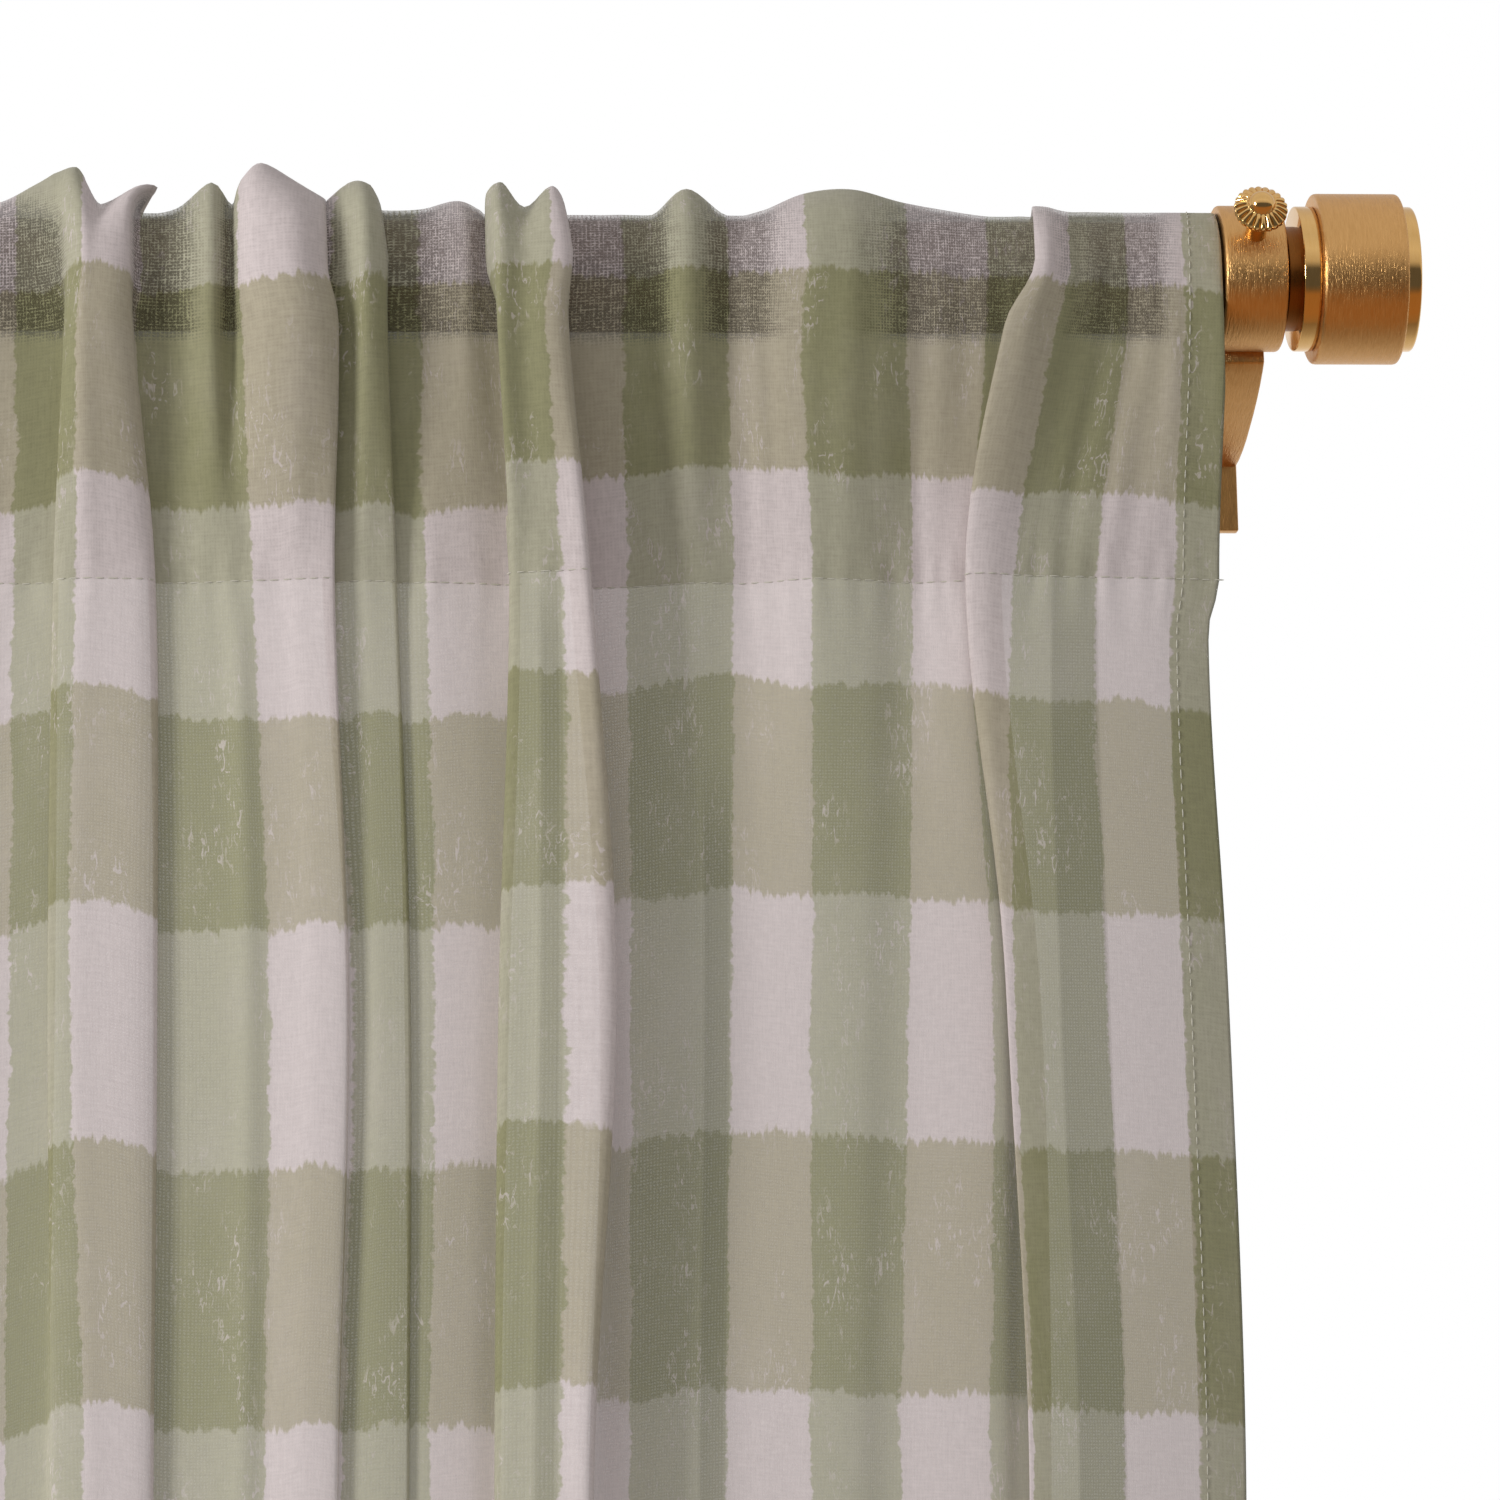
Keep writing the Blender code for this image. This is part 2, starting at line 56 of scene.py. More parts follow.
# Camera. The photo crops the top right corner out of a wide picture, so the view is from
# 8 degrees to the left and 12 below, level with the rod, from far off.
VIEW_LEFT, VIEW_BELOW = math.radians(8.0), math.radians(12.0)
VIEW_DISTANCE = 4.0
PHOTO_SIDE = 1500.0
PIXELS_PER_METRE = 4400.0
SENSOR = 36.0
# where the photo shows the rod's axis at the bracket's right side
AXIS_PIXEL_X, AXIS_PIXEL_Y = 1264.6, 279.0

ROD_Y, ROD_Z = -50.0, 14.0
BAR_RIGHT = 5.5


def place_camera():
    forward = Vector((
        math.sin(VIEW_LEFT) * math.cos(VIEW_BELOW),
        math.cos(VIEW_LEFT) * math.cos(VIEW_BELOW),
        math.sin(VIEW_BELOW),
    ))
    flat_right = Vector((math.cos(VIEW_LEFT), -math.sin(VIEW_LEFT), 0.0))
    flat_up = flat_right.cross(forward)
    roll = math.atan2(math.sin(VIEW_LEFT) * math.sin(VIEW_BELOW), math.cos(VIEW_LEFT))
    right = flat_right * math.cos(roll) - flat_up * math.sin(roll)
    up = flat_up * math.cos(roll) + flat_right * math.sin(roll)
    middle = PHOTO_SIDE / 2
    target = Vector((BAR_RIGHT, ROD_Y, ROD_Z)) * MM
    target += right * ((middle - AXIS_PIXEL_X) / PIXELS_PER_METRE)
    target -= up * ((middle - AXIS_PIXEL_Y) / PIXELS_PER_METRE)
    camera = bpy.data.cameras.new("photo_camera")
    camera.sensor_width = SENSOR
    camera.lens = SENSOR * VIEW_DISTANCE * PIXELS_PER_METRE / PHOTO_SIDE
    camera.clip_end = 100.0
    item = bpy.data.objects.new("photo_camera", camera)
    bpy.context.scene.collection.objects.link(item)
    turn = Matrix((right, up, -forward)).transposed().to_4x4()
    item.matrix_world = Matrix.Translation(target - forward * VIEW_DISTANCE) @ turn
    bpy.context.scene.camera = item


place_camera()


# Studio. A plain pale floor under the hem, a white room and soft lamps. Metal mirrors a
# room that is banded from floor to ceiling, as a studio with panels is.
def linear(hex_colour):
    """An sRGB hex colour as the linear values that shaders take."""
    parts = [int(hex_colour[i:i + 2], 16) / 255 for i in (1, 3, 5)]
    return [c / 12.92 if c <= 0.04045 else ((c + 0.055) / 1.055) ** 2.4 for c in parts] + [1.0]


def add_node(tree, kind, inputs=None, **settings):
    """Adds a node. inputs maps a socket's name or number to a value or to an output."""
    node = tree.nodes.new(kind)
    for name, value in settings.items():
        setattr(node, name, value)
    for key, value in (inputs or {}).items():
        if isinstance(value, bpy.types.NodeSocket):
            tree.links.new(value, node.inputs[key])
        else:
            node.inputs[key].default_value = value
    return node


def set_ramp(node, stops):
    """Gives a Color Ramp its (position, hex colour) stops."""
    ramp = node.color_ramp
    while len(ramp.elements) > len(stops):
        ramp.elements.remove(ramp.elements[-1])
    while len(ramp.elements) < len(stops):
        ramp.elements.new(1.0)
    for element, (place, colour) in zip(ramp.elements, stops):
        element.position = place
        element.color = linear(colour)


def map_range(tree, value, low, high, **settings):
    """The output of a Map Range node: 0 at low and 1 at high."""
    return add_node(
        tree, "ShaderNodeMapRange", {"Value": value, "From Min": low, "From Max": high}, **settings
    ).outputs[0]


# The room that metal mirrors, round the rod's axis: 0 is the floor, 0.25 the room in
# front, 0.5 the ceiling and 0.75 the wall behind.
ROOM_STOPS = (
    (0.000, "#86745F"), (0.015, "#987856"), (0.060, "#A2764A"), (0.145, "#9E7449"),
    (0.168, "#6E5E4E"), (0.185, "#5C5A58"), (0.262, "#5C5A58"), (0.292, "#C4BDB4"),
    (0.350, "#DCD8D4"), (0.420, "#D0CCC8"), (0.500, "#D8D4D2"), (0.620, "#C8C2BE"),
    (0.750, "#F2EEEA"), (0.900, "#C8C2BC"), (0.940, "#A89E94"), (1.000, "#86745F"),
)
ROOM_LIGHT = 0.42
MIRROR_LIGHT = 1.1
ROOM_WHITE = "#FFFFFF"
# places and sizes in metres. Only the key lamp is mirrored, which gives the brushed brass
# its bright streaks.
LAMPS = (
    # name, from, size, power, colour, mirrored in metal
    ("key_lamp", (-1.55, -0.78, 0.1), 0.4, 16.0, "#FFFFFF", True),
    ("top_lamp", (-0.4, -2.0, 1.7), 1.0, 8.0, "#FFFAF4", False),
    ("window_lamp", (-0.4, 2.2, 0.4), 1.4, 45.0, "#FFFFFF", False),
)
LAMP_TARGET = Vector((-0.12, -0.05, -0.1))
FLOOR_COLOUR = "#F4F3F1"
FLOOR_SIDE, FLOOR_MIDDLE, FLOOR_DROP = 8.0, -0.4, 0.02


def make_room():
    world = bpy.data.worlds.new("studio")
    world.use_nodes = True
    tree = world.node_tree
    tree.nodes.clear()
    place = add_node(tree, "ShaderNodeTexCoord")
    split = add_node(tree, "ShaderNodeSeparateXYZ", {0: place.outputs["Generated"]})
    front = add_node(tree, "ShaderNodeMath", {0: split.outputs["Y"], 1: -1.0}, operation="MULTIPLY")
    turn = add_node(
        tree, "ShaderNodeMath", {0: split.outputs["Z"], 1: front.outputs[0]}, operation="ARCTAN2"
    )
    # one whole turn that starts and ends straight down
    low, high = -math.pi / 2, 1.5 * math.pi
    wrapped = add_node(
        tree, "ShaderNodeMath", {0: turn.outputs[0], 1: high, 2: low}, operation="WRAP"
    )
    share = map_range(tree, wrapped.outputs[0], low, high)
    ramp = add_node(tree, "ShaderNodeValToRGB", {0: share})
    set_ramp(ramp, ROOM_STOPS)
    plain = add_node(tree, "ShaderNodeBackground", {0: linear(ROOM_WHITE), 1: ROOM_LIGHT})
    banded = add_node(tree, "ShaderNodeBackground", {0: ramp.outputs[0], 1: MIRROR_LIGHT})
    white = add_node(tree, "ShaderNodeBackground", {0: linear(ROOM_WHITE), 1: 1.0})
    rays = add_node(tree, "ShaderNodeLightPath")
    mirrored = add_node(
        tree, "ShaderNodeMixShader",
        {0: rays.outputs["Is Glossy Ray"], 1: plain.outputs[0], 2: banded.outputs[0]},
    )
    seen = add_node(
        tree, "ShaderNodeMixShader",
        {0: rays.outputs["Is Camera Ray"], 1: mirrored.outputs[0], 2: white.outputs[0]},
    )
    add_node(tree, "ShaderNodeOutputWorld", {0: seen.outputs[0]})
    bpy.context.scene.world = world


def make_lamps():
    for name, start, size, power, colour, mirrored in LAMPS:
        light = bpy.data.lights.new(name, "AREA")
        light.size = size
        light.energy = power
        light.color = linear(colour)[:3]
        item = bpy.data.objects.new(name, light)
        item.location = start
        item.rotation_mode = "QUATERNION"
        item.rotation_quaternion = (LAMP_TARGET - Vector(start)).to_track_quat("-Z", "Y")
        item.visible_glossy = mirrored
        bpy.context.scene.collection.objects.link(item)


def new_material(name):
    material = bpy.data.materials.new(name)
    material.use_nodes = True
    tree = material.node_tree
    tree.nodes.clear()
    return material, tree


def give_shader(tree, inputs):
    """Ends a material's tree with a Principled shader."""
    shader = add_node(tree, "ShaderNodeBsdfPrincipled", inputs)
    add_node(tree, "ShaderNodeOutputMaterial", {0: shader.outputs[0]})


def link_object(name, data, material=None):
    item = bpy.data.objects.new(name, data)
    bpy.context.scene.collection.objects.link(item)
    if material:
        data.materials.append(material)
    return item


def make_floor():
    material, tree = new_material("matt_white_studio_floor")
    give_shader(tree, {"Base Color": linear(FLOOR_COLOUR), "Roughness": 0.9})
    mesh = bmesh.new()
    bmesh.ops.create_grid(mesh, x_segments=1, y_segments=1, size=FLOOR_SIDE / 2)
    bmesh.ops.translate(mesh, verts=mesh.verts, vec=(FLOOR_MIDDLE, 0.0, cad_low.z - FLOOR_DROP))
    data = bpy.data.meshes.new("studio_floor")
    mesh.to_mesh(data)
    mesh.free()
    floor = link_object("studio_floor", data, material)
    # metal mirrors the room's bands, which hold a floor
    floor.visible_glossy = False


make_room()
make_lamps()
make_floor()
bpy.context.scene.view_settings.view_transform = "Standard"


# Curtain panel. One cut length of sheer cloth, 1.27 m wide, printed in a sage and beige
# check. The top is folded back into a rod pocket and sewn down, the sides and the bottom
# are turned once and stitched, and the rod gathers it into uneven folds.

# Sizes are in mm. A drop is measured down from the rod's axis.
STRIPE = 26.0
FLAT_WIDTH = 1270.0
FINISHED_LENGTH = 2134.0
FINISHED_TOP = 15.0
POCKET_DEPTH = 87.0
SIDE_HEM = 10.5
BOTTOM_HEM = 75.0
HEM_BEHIND = 0.5
SEAM_DROP = POCKET_DEPTH - FINISHED_TOP
HEM_DROP = FINISHED_LENGTH - FINISHED_TOP
BRACKET_SPACING = 836.0
CLOTH_RIGHT = -6.6
# radius at which the pocket lies on the rod
ROD_CLEAR = 13.9
# how the photo's view shifts a point sideways: for each mm forward, each mm down, and in
# all. The power says how late the shift fades to nothing on its way to the left edge.
SEEN_FORWARD, SEEN_LEAN, SEEN_START = 0.14, 0.029, 1.5
SEEN_FADE = 4
# the drops at which FOLDS gives where the cloth is
LEVELS = (0.0, 16.0, 72.0, 168.0, 284.0)

# One row for each fold line, from the right edge to the left. flat: stripes from the
# edge, rise: top of the cloth above the rod's axis, seen: how far left it shows at each
# level, forward: how far before the rod's axis it stands, lift: how far its check is
# pulled up by the gathers.
FOLDS = (
    # flat, rise, seen (5 levels), forward (4 levels), lift
    (0.0, 15, 2, 2, 4, 2, -1, 14, 14, 8.5, 8, 2),
    (0.4, 15, 12, 12, 14, 12.5, 9.5, 15, 15, 10, 10, 3),
    (1.4, 15, 25, 25, 32, 30, 26.5, 14, 14, 11.5, 11.5, 4),
    (2.0, 15, 33, 35, 44, 43, 39, 16, 16, 12.5, 12.5, 4),
    (2.4, 15, 38, 41, 51, 51, 47, 17, 19, 13.5, 13, 4),
    (2.65, 16, 43, 48, 58, 53, 48, 20, 23, 15, 12, 5),
    (2.9, 16, 46, 53, 62, 51, 47, 19, 22, 13, 8, 5),
    (3.4, 14, 44, 48, 54, 45, 43, 15, 15, 4, 3, 8),
    (3.9, 14, 49, 51, 56, 51, 50, 14, 14, 5, 4, 8),
    (4.4, 14, 57, 57, 61, 56, 57, 14, 14, 7.5, 6, 8),
    (5.4, 17, 75, 75, 74, 75, 77, 15, 15, 5, 4.5, 9),
    (5.9, 20, 87, 87, 85, 86, 87, 19, 19, 8, 6, 9),
    (6.4, 19, 98, 99, 97, 97, 97, 19, 19, 9, 6, 9),
    (6.9, 15, 108, 108, 106, 106, 107, 16, 16, 6, 5, 10),
    (7.4, 14, 116, 116, 115, 115, 116, 14, 14, 4, 4, 11),
    (7.75, 20, 125, 125, 124, 123, 124, 19, 19, 5, 4, 10),
    (8.1, 14, 133, 133, 132, 130, 131, 14, 14, 2, 2, 10),
    (8.4, 14, 140, 140, 139, 138, 138, 14, 14, 0, 0, 9),
    (8.95, 14, 155, 156, 152, 145, 147, 14, 14, 0, 0, 8),
    (9.15, 18, 151, 152, 147, 141, 146, 24, 26, 18, 18, 9),
    (9.4, 20, 156, 157, 153.5, 152.5, 153.5, 26, 28, 17, 17, 10),
    (9.65, 15, 162, 162, 160.5, 160.5, 161.5, 24, 27, 16, 15, 10),
    (9.9, 21, 168, 168, 165.5, 167.5, 168, 25, 27, 14, 13, 9),
    (10.15, 19, 171, 167, 163.5, 165.5, 167, 16, 16, 4, 5, 4),
    (10.4, 14, 170, 168, 164.5, 166.5, 168, 14, 14, 2, 3, 3),
    (11.0, 17, 177, 177, 175, 173.5, 174.5, 16, 16, 4, 4, 2.5),
    (11.4, 15, 186, 186, 184.5, 182, 183, 15, 15, 5, 4.5, 1.5),
    (11.65, 15, 196, 197, 192, 189, 188, 14, 14, 4, 4, 1.5),
    (11.8, 17, 193, 193, 191, 187.5, 187.5, 18, 20, 6, 5.5, 2.5),
    (12.05, 21, 198, 198, 196.5, 193.5, 193.5, 22, 23, 6.5, 6, 2.5),
    (12.3, 21, 202, 202, 202, 197, 199.5, 19, 19, 5.5, 5.5, 1.5),
    (12.45, 17, 207, 209, 208, 202, 203.5, 15, 15, 4, 4, 1.5),
    (12.6, 17, 207, 204, 205, 201.5, 203.5, 20, 22, 9, 8, 1.5),
    (12.9, 21, 214, 212, 212, 208, 210, 25, 27, 9, 8, 2.5),
    (13.15, 25.5, 222.5, 220.5, 217.5, 214, 216, 23, 25, 7.5, 6.5, 1.5),
    (13.4, 22, 227, 226, 223.5, 219.5, 220, 18, 18, 6, 5.5, 1.5),
    (13.6, 16, 229, 229, 227.5, 224, 224.5, 15, 15, 6, 6, 1.5),
    (13.8, 21, 233, 233, 232, 228.5, 229, 19, 19, 5, 5, 1.5),
    (14.1, 15, 241, 241, 238.5, 236, 236, 15, 15, 4, 4, 1.5),
    (14.4, 14, 249, 250, 247, 245, 245, 14, 14, 3.5, 3.5, 2.5),
    (14.65, 18, 251, 250.5, 245.5, 244.5, 244.5, 18, 18, 6, 6, 4.5),
    (14.8, 20.5, 252, 251.5, 249, 249, 247.5, 20, 21, 8, 7.5, 6),
    (15.1, 15.5, 258, 258, 257.5, 257.5, 255, 22, 24, 9, 8, 8),
    (15.4, 22, 262, 263, 263.5, 264, 260, 22, 23, 9, 8, 8),
    (15.65, 24.5, 265.3, 266, 268.5, 269, 267, 19, 19, 7, 6.5, 7),
    (15.9, 23.5, 268, 266, 267.5, 267.5, 268.5, 15, 15, 4.5, 4.5, 4),
    (16.2, 20.5, 273, 272, 273.5, 273.5, 274.5, 14, 14, 3.5, 3.5, 2),
    (16.6, 16, 282, 282, 282.5, 282.5, 281.5, 15, 15, 3.5, 3.5, 0),
)
# The rest of the panel, left of the photo: folds of uneven depth, worked out by a rule.
PLAIN_FOLDS = 13
PLAIN_ROWS = 52
PLAIN_CREST = 9.0
PLAIN_SWAY = 1.5
PLAIN_LIFT = 4.0
PLAIN_SIZE_LOW, PLAIN_SIZE_SWING, PLAIN_SIZE_TURNS = 0.75, 0.25, 5.3
PLAIN_SHIFT, PLAIN_SHIFT_TURNS = 0.14, 3.0
PLAIN_END_SHARE = 1 / 6
PLAIN_TOP, PLAIN_POCKET, PLAIN_TAIL = 14.0, 14.0, 3.0
LEFT_EDGE = (15, 14, 14, 6, 5)

# Where the beige bands start and end down the front, below the rod's axis. The bands are
# painted, so they aren't quite even; past the last one they repeat.
BAND_EDGES = (-97.0, -47.0, 7.5, 57.0, 104.5, 153.0, 208.0, 267.0, 313.0)
BAND_PITCH = 105.0


def plain_rows():
    """Rows like those of FOLDS for the part of the panel that the photo leaves out."""
    start_flat, start_seen = FOLDS[-1][0], FOLDS[-1][2]
    end_flat = FLAT_WIDTH / STRIPE - FOLDS[1][0]
    end_seen = BRACKET_SPACING + CLOTH_RIGHT - FOLDS[1][2]
    rows = []
    for step in range(1, PLAIN_ROWS + 1):
        share = step / PLAIN_ROWS
        shift = PLAIN_SHIFT * math.sin(math.tau * PLAIN_SHIFT_TURNS * share)
        turn = math.tau * (share * PLAIN_FOLDS + shift)
        size = PLAIN_SIZE_LOW + PLAIN_SIZE_SWING * math.sin(math.tau * PLAIN_SIZE_TURNS * share)
        left = min(1.0, (1.0 - share) / PLAIN_END_SHARE)
        crest = max(0.0, -math.cos(turn)) * size * math.sin(math.pi / 2 * left)
        high = PLAIN_CREST * crest
        seen = start_seen + share * (end_seen - start_seen)
        sway = PLAIN_SWAY * math.sin(turn) * (1.0 - share)
        places = (seen, seen, seen + sway, seen + 1.5 * sway, seen + sway)
        depths = (PLAIN_POCKET + high, PLAIN_POCKET + high, PLAIN_TAIL + high, PLAIN_TAIL + high)
        flat = start_flat + share * (end_flat - start_flat)
        rows.append((flat, PLAIN_TOP + high, *places, *depths, PLAIN_LIFT * crest))
    return rows


def fold_rows():
    edge_flat = FLAT_WIDTH / STRIPE
    edge_seen = BRACKET_SPACING + CLOTH_RIGHT
    last = (edge_flat, LEFT_EDGE[0], *[edge_seen] * len(LEVELS), *LEFT_EDGE[1:], 1)
    return list(FOLDS) + plain_rows() + [last]


def through(before, start, end, after, t):
    """A smooth curve from start to end whose slopes follow the neighbours."""
    return 0.5 * (
        2 * start + (end - before) * t
        + (2 * before - 5 * start + 4 * end - after) * t * t
        + (3 * start - before - 3 * end + after) * t ** 3
    )


# flat width of cloth in each column of the mesh: finer where the photo shows it
FINE_COLUMN, PLAIN_COLUMN = 1.3, 5.0


def fine_rows():
    """The rows of the whole width, with smooth ones added between the fold lines."""
    rows = fold_rows()
    out = []
    for i in range(len(rows) - 1):
        before, after = rows[max(i - 1, 0)], rows[min(i + 2, len(rows) - 1)]
        width = (rows[i + 1][0] - rows[i][0]) * STRIPE
        count = max(2, round(width / (FINE_COLUMN if i < len(FOLDS) else PLAIN_COLUMN)))
        for step in range(count):
            t = step / count
            flat = rows[i][0] + (rows[i + 1][0] - rows[i][0]) * t
            smooth = [
                through(a, b, c, d, t)
                for a, b, c, d in zip(before[1:], rows[i][1:], rows[i + 1][1:], after[1:])
            ]
            out.append((flat, *smooth))
    out.append(rows[-1])
    return out


def at_level(values, drop):
    """A smooth curve down the values at LEVELS, level above the first and below the last."""
    if drop <= LEVELS[0]:
        return values[0]
    if drop >= LEVELS[len(values) - 1]:
        return values[-1]
    i = next(n for n in range(len(values) - 1) if drop < LEVELS[n + 1])
    span = LEVELS[i + 1] - LEVELS[i]
    slopes = []
    for n in (i, i + 1):
        if 0 < n < len(values) - 1:
            slopes.append((values[n + 1] - values[n - 1]) / (LEVELS[n + 1] - LEVELS[n - 1]))
        else:
            slopes.append(0.0)
    t = (drop - LEVELS[i]) / span
    return (
        values[i] * (1 + 2 * t) * (1 - t) ** 2
        + slopes[0] * span * t * (1 - t) ** 2
        + values[i + 1] * t * t * (3 - 2 * t)
        + slopes[1] * span * t * t * (t - 1)
    )


def cloth_x(seen, drop, forward):
    """Real X of a point of the cloth, from where it shows in the photo's view."""
    fade = 1.0 - min(1.0, max(0.0, seen / (BRACKET_SPACING + CLOTH_RIGHT))) ** SEEN_FADE
    lean = SEEN_LEAN * min(drop, LEVELS[-1])
    x = -seen - SEEN_START - (SEEN_FORWARD * forward + lean) * fade
    return min(max(x, -BRACKET_SPACING - CLOTH_RIGHT), CLOTH_RIGHT)


# below the seam the single layer draws in at the right edge: how far, where most, how wide
TUCK, TUCK_DROP, TUCK_REACH, TUCK_STRIPES = 2.6, 84.0, 60.0, 1.6


def edge_tuck(flat, drop):
    """How far the cloth draws in at its right edge, just below the pocket's seam."""
    if drop <= SEAM_DROP or flat >= TUCK_STRIPES:
        return 0.0
    grown = min(1.0, (drop - SEAM_DROP) / (TUCK_DROP - SEAM_DROP))
    faded = math.exp(-(max(0.0, drop - TUCK_DROP) / TUCK_REACH) ** 2)
    near = 1.0 - flat / TUCK_STRIPES
    return TUCK * near * near * grown * grown * (3 - 2 * grown) * faded


# small creases: how deep, how wide, how tall, seed
GATHERS = (0.9, 7.0, 60.0, 3.1)
LONG_FOLDS = (0.45, 22.0, 260.0, 7.7)
PUCKERS = (0.8, 5.0, 14.0, 12.3)
# gathers fade either side of this drop, and puckers either side of the seam
GATHER_DROP, GATHER_REACH, PUCKER_REACH = 30.0, 45.0, 7.0


def crease(kind, flat, drop):
    deep, wide, tall, seed = kind
    return deep * noise.noise(Vector((flat * STRIPE / wide, drop / tall, seed)))


def wrinkle(flat, drop):
    """Small creases in the gathers and puckers along the seam, in mm forward."""
    near_rod = math.exp(-((drop - GATHER_DROP) / GATHER_REACH) ** 2)
    near_seam = math.exp(-((drop - SEAM_DROP) / PUCKER_REACH) ** 2)
    gathered = crease(GATHERS, flat, drop) * near_rod
    puckered = crease(PUCKERS, flat, drop) * near_seam
    return gathered + crease(LONG_FOLDS, flat, drop) + puckered


# drop of each row of the mesh: how tall the plain rows are and where they stop, the fine
# rows' height, start and number, and how close to the seam they come
PLAIN_ROW, PLAIN_ROW_COUNT, PLAIN_ROW_STOP = 28.0, 65, 330.0
FINE_ROW, FINE_ROW_COUNT, FINE_ROW_START = 4.6, 55, 325.0
SEAM_GAP = 2.0
POCKET_STEPS, ARCH_STEPS, BACK_STEPS = 22, 16, 16


def front_stops():
    """Drops up the front from the hem to the rod's axis, closer where the photo shows them."""
    stops = [HEM_DROP - PLAIN_ROW * n for n in range(PLAIN_ROW_COUNT)]
    stops = [drop for drop in stops if drop > PLAIN_ROW_STOP]
    stops += [FINE_ROW_START - FINE_ROW * n for n in range(FINE_ROW_COUNT)]
    stops = [drop for drop in stops if drop > SEAM_DROP + SEAM_GAP]
    pocket = [SEAM_DROP * (1.0 - n / POCKET_STEPS) for n in range(POCKET_STEPS + 1)]
    return stops, pocket


# the back of the pocket stands off the rod by this share of the front
BACK_SHARE = 0.4
# the top comes back to its relaxed place early in its arch, and the back meets the seam
# on a curve
ARCH_RELAXES, BACK_CURVE = 1.6, 1.4
# where the ruffled top edge curls over: flat place, reach either side, how far to the
# right, and a power that keeps the curl near the top
CURLS = ((9.95, 0.3, 1.5), (13.3, 0.5, 1.5), (14.75, 0.3, 6.0), (15.65, 0.3, 2.0))
CURL_POWER = 6
# share of its lift that the check has on top of the rod, and the drop where it has all
LIFT_ON_TOP, LIFT_DROP = 0.5, 50.0


def cloth_column(row, relaxed):
    """Points up one fine row, with how far each lies down the cloth: tail, pocket, back."""
    flat, rise, seen_values = row[0], row[1], row[2:7]
    forward_values, lift = row[7:11], row[11]

    def front(drop):
        forward = at_level(forward_values, drop) + wrinkle(flat, drop)
        if drop < ROD_CLEAR:
            forward = max(forward, math.sqrt(ROD_CLEAR ** 2 - drop ** 2))
        seen = at_level(seen_values, drop) + edge_tuck(flat, drop)
        return Vector((cloth_x(seen, drop, forward), -forward, -drop))

    tail_stops, pocket_stops = front_stops()
    lengths = tail_stops + pocket_stops
    points = [front(drop) for drop in lengths]
    seam = points[len(tail_stops)]
    half_front = -points[-1].y
    half_back = ROD_CLEAR + BACK_SHARE * (half_front - ROD_CLEAR)
    rise = max(rise, ROD_CLEAR)
    seen_front = seen_values[0]
    x_back = cloth_x(relaxed, 0.0, -half_back)
    curl = sum(right * max(0.0, 1.0 - abs(flat - place) / reach) for place, reach, right in CURLS)
    spots = []
    for step in range(1, ARCH_STEPS):
        turn = math.pi * step / ARCH_STEPS
        half = half_front if turn < math.pi / 2 else half_back
        forward = half * math.cos(turn)
        seen = seen_front + (relaxed - seen_front) * min(1.0, ARCH_RELAXES * step / ARCH_STEPS)
        seen -= curl * math.sin(turn) ** CURL_POWER
        spots.append(Vector((cloth_x(seen, 0.0, forward), -forward, rise * math.sin(turn))))
    for n in range(BACK_STEPS + 1):
        share = n / BACK_STEPS
        y = half_back + (seam.y + HEM_BEHIND - half_back) * share ** BACK_CURVE
        spots.append(Vector((x_back + (seam.x - x_back) * share, y, -SEAM_DROP * share)))
    length = 0.0
    for spot in spots:
        length -= (spot - points[-1]).length
        points.append(spot)
        lengths.append(length)
    shares = [min(1.0, max(0.0, value / LIFT_DROP)) for value in lengths]
    lifts = [lift * (LIFT_ON_TOP + (1.0 - LIFT_ON_TOP) * share) for share in shares]
    return points, [value + more for value, more in zip(lengths, lifts)]


def band_number(length):
    """How many half repeats of the check lie above a length down the cloth."""
    if length >= BAND_EDGES[-1]:
        return len(BAND_EDGES) - 1 + (length - BAND_EDGES[-1]) / (BAND_PITCH / 2)
    for n in range(len(BAND_EDGES) - 1):
        if length < BAND_EDGES[n + 1]:
            break
    return n + (length - BAND_EDGES[n]) / (BAND_EDGES[n + 1] - BAND_EDGES[n])


def grid_normals(grid):
    """Unit normals of the sheet, pointing out of the pocket."""
    last_u, last_v = len(grid) - 1, len(grid[0]) - 1
    normals = []
    for i, line in enumerate(grid):
        row = []
        for k in range(last_v + 1):
            along = grid[min(i + 1, last_u)][k] - grid[max(i - 1, 0)][k]
            up = line[min(k + 1, last_v)] - line[max(k - 1, 0)]
            row.append(up.cross(along).normalized())
        normals.append(row)
    return normals


# stripes added to a side hem, so that its last column is in it
HEM_SLACK = 0.02
# the pocket's back doesn't double over: its columns stay at least this far apart
BACK_APART = 0.1


def side_hem(side, flats, grid, lengths, normals, bottom_rows):
    """The columns of one side's turned hem: points, lengths and flat place of each."""
    edge_flat = flats[side]
    reach = SIDE_HEM / STRIPE + HEM_SLACK
    inside = [i for i, flat in enumerate(flats) if 0 < abs(flat - edge_flat) <= reach]
    if side == 0:
        inside.reverse()
    columns = []
    for i in inside:
        points = [Vector(p) for p in grid[i]]
        for k in range(len(points)):
            layers = 2.0 if k < bottom_rows else 1.0
            points[k] = points[k] - normals[i][max(k - bottom_rows, 0)] * HEM_BEHIND * layers
        columns.append((points, lengths[i], 2 * edge_flat - flats[i]))
    return columns


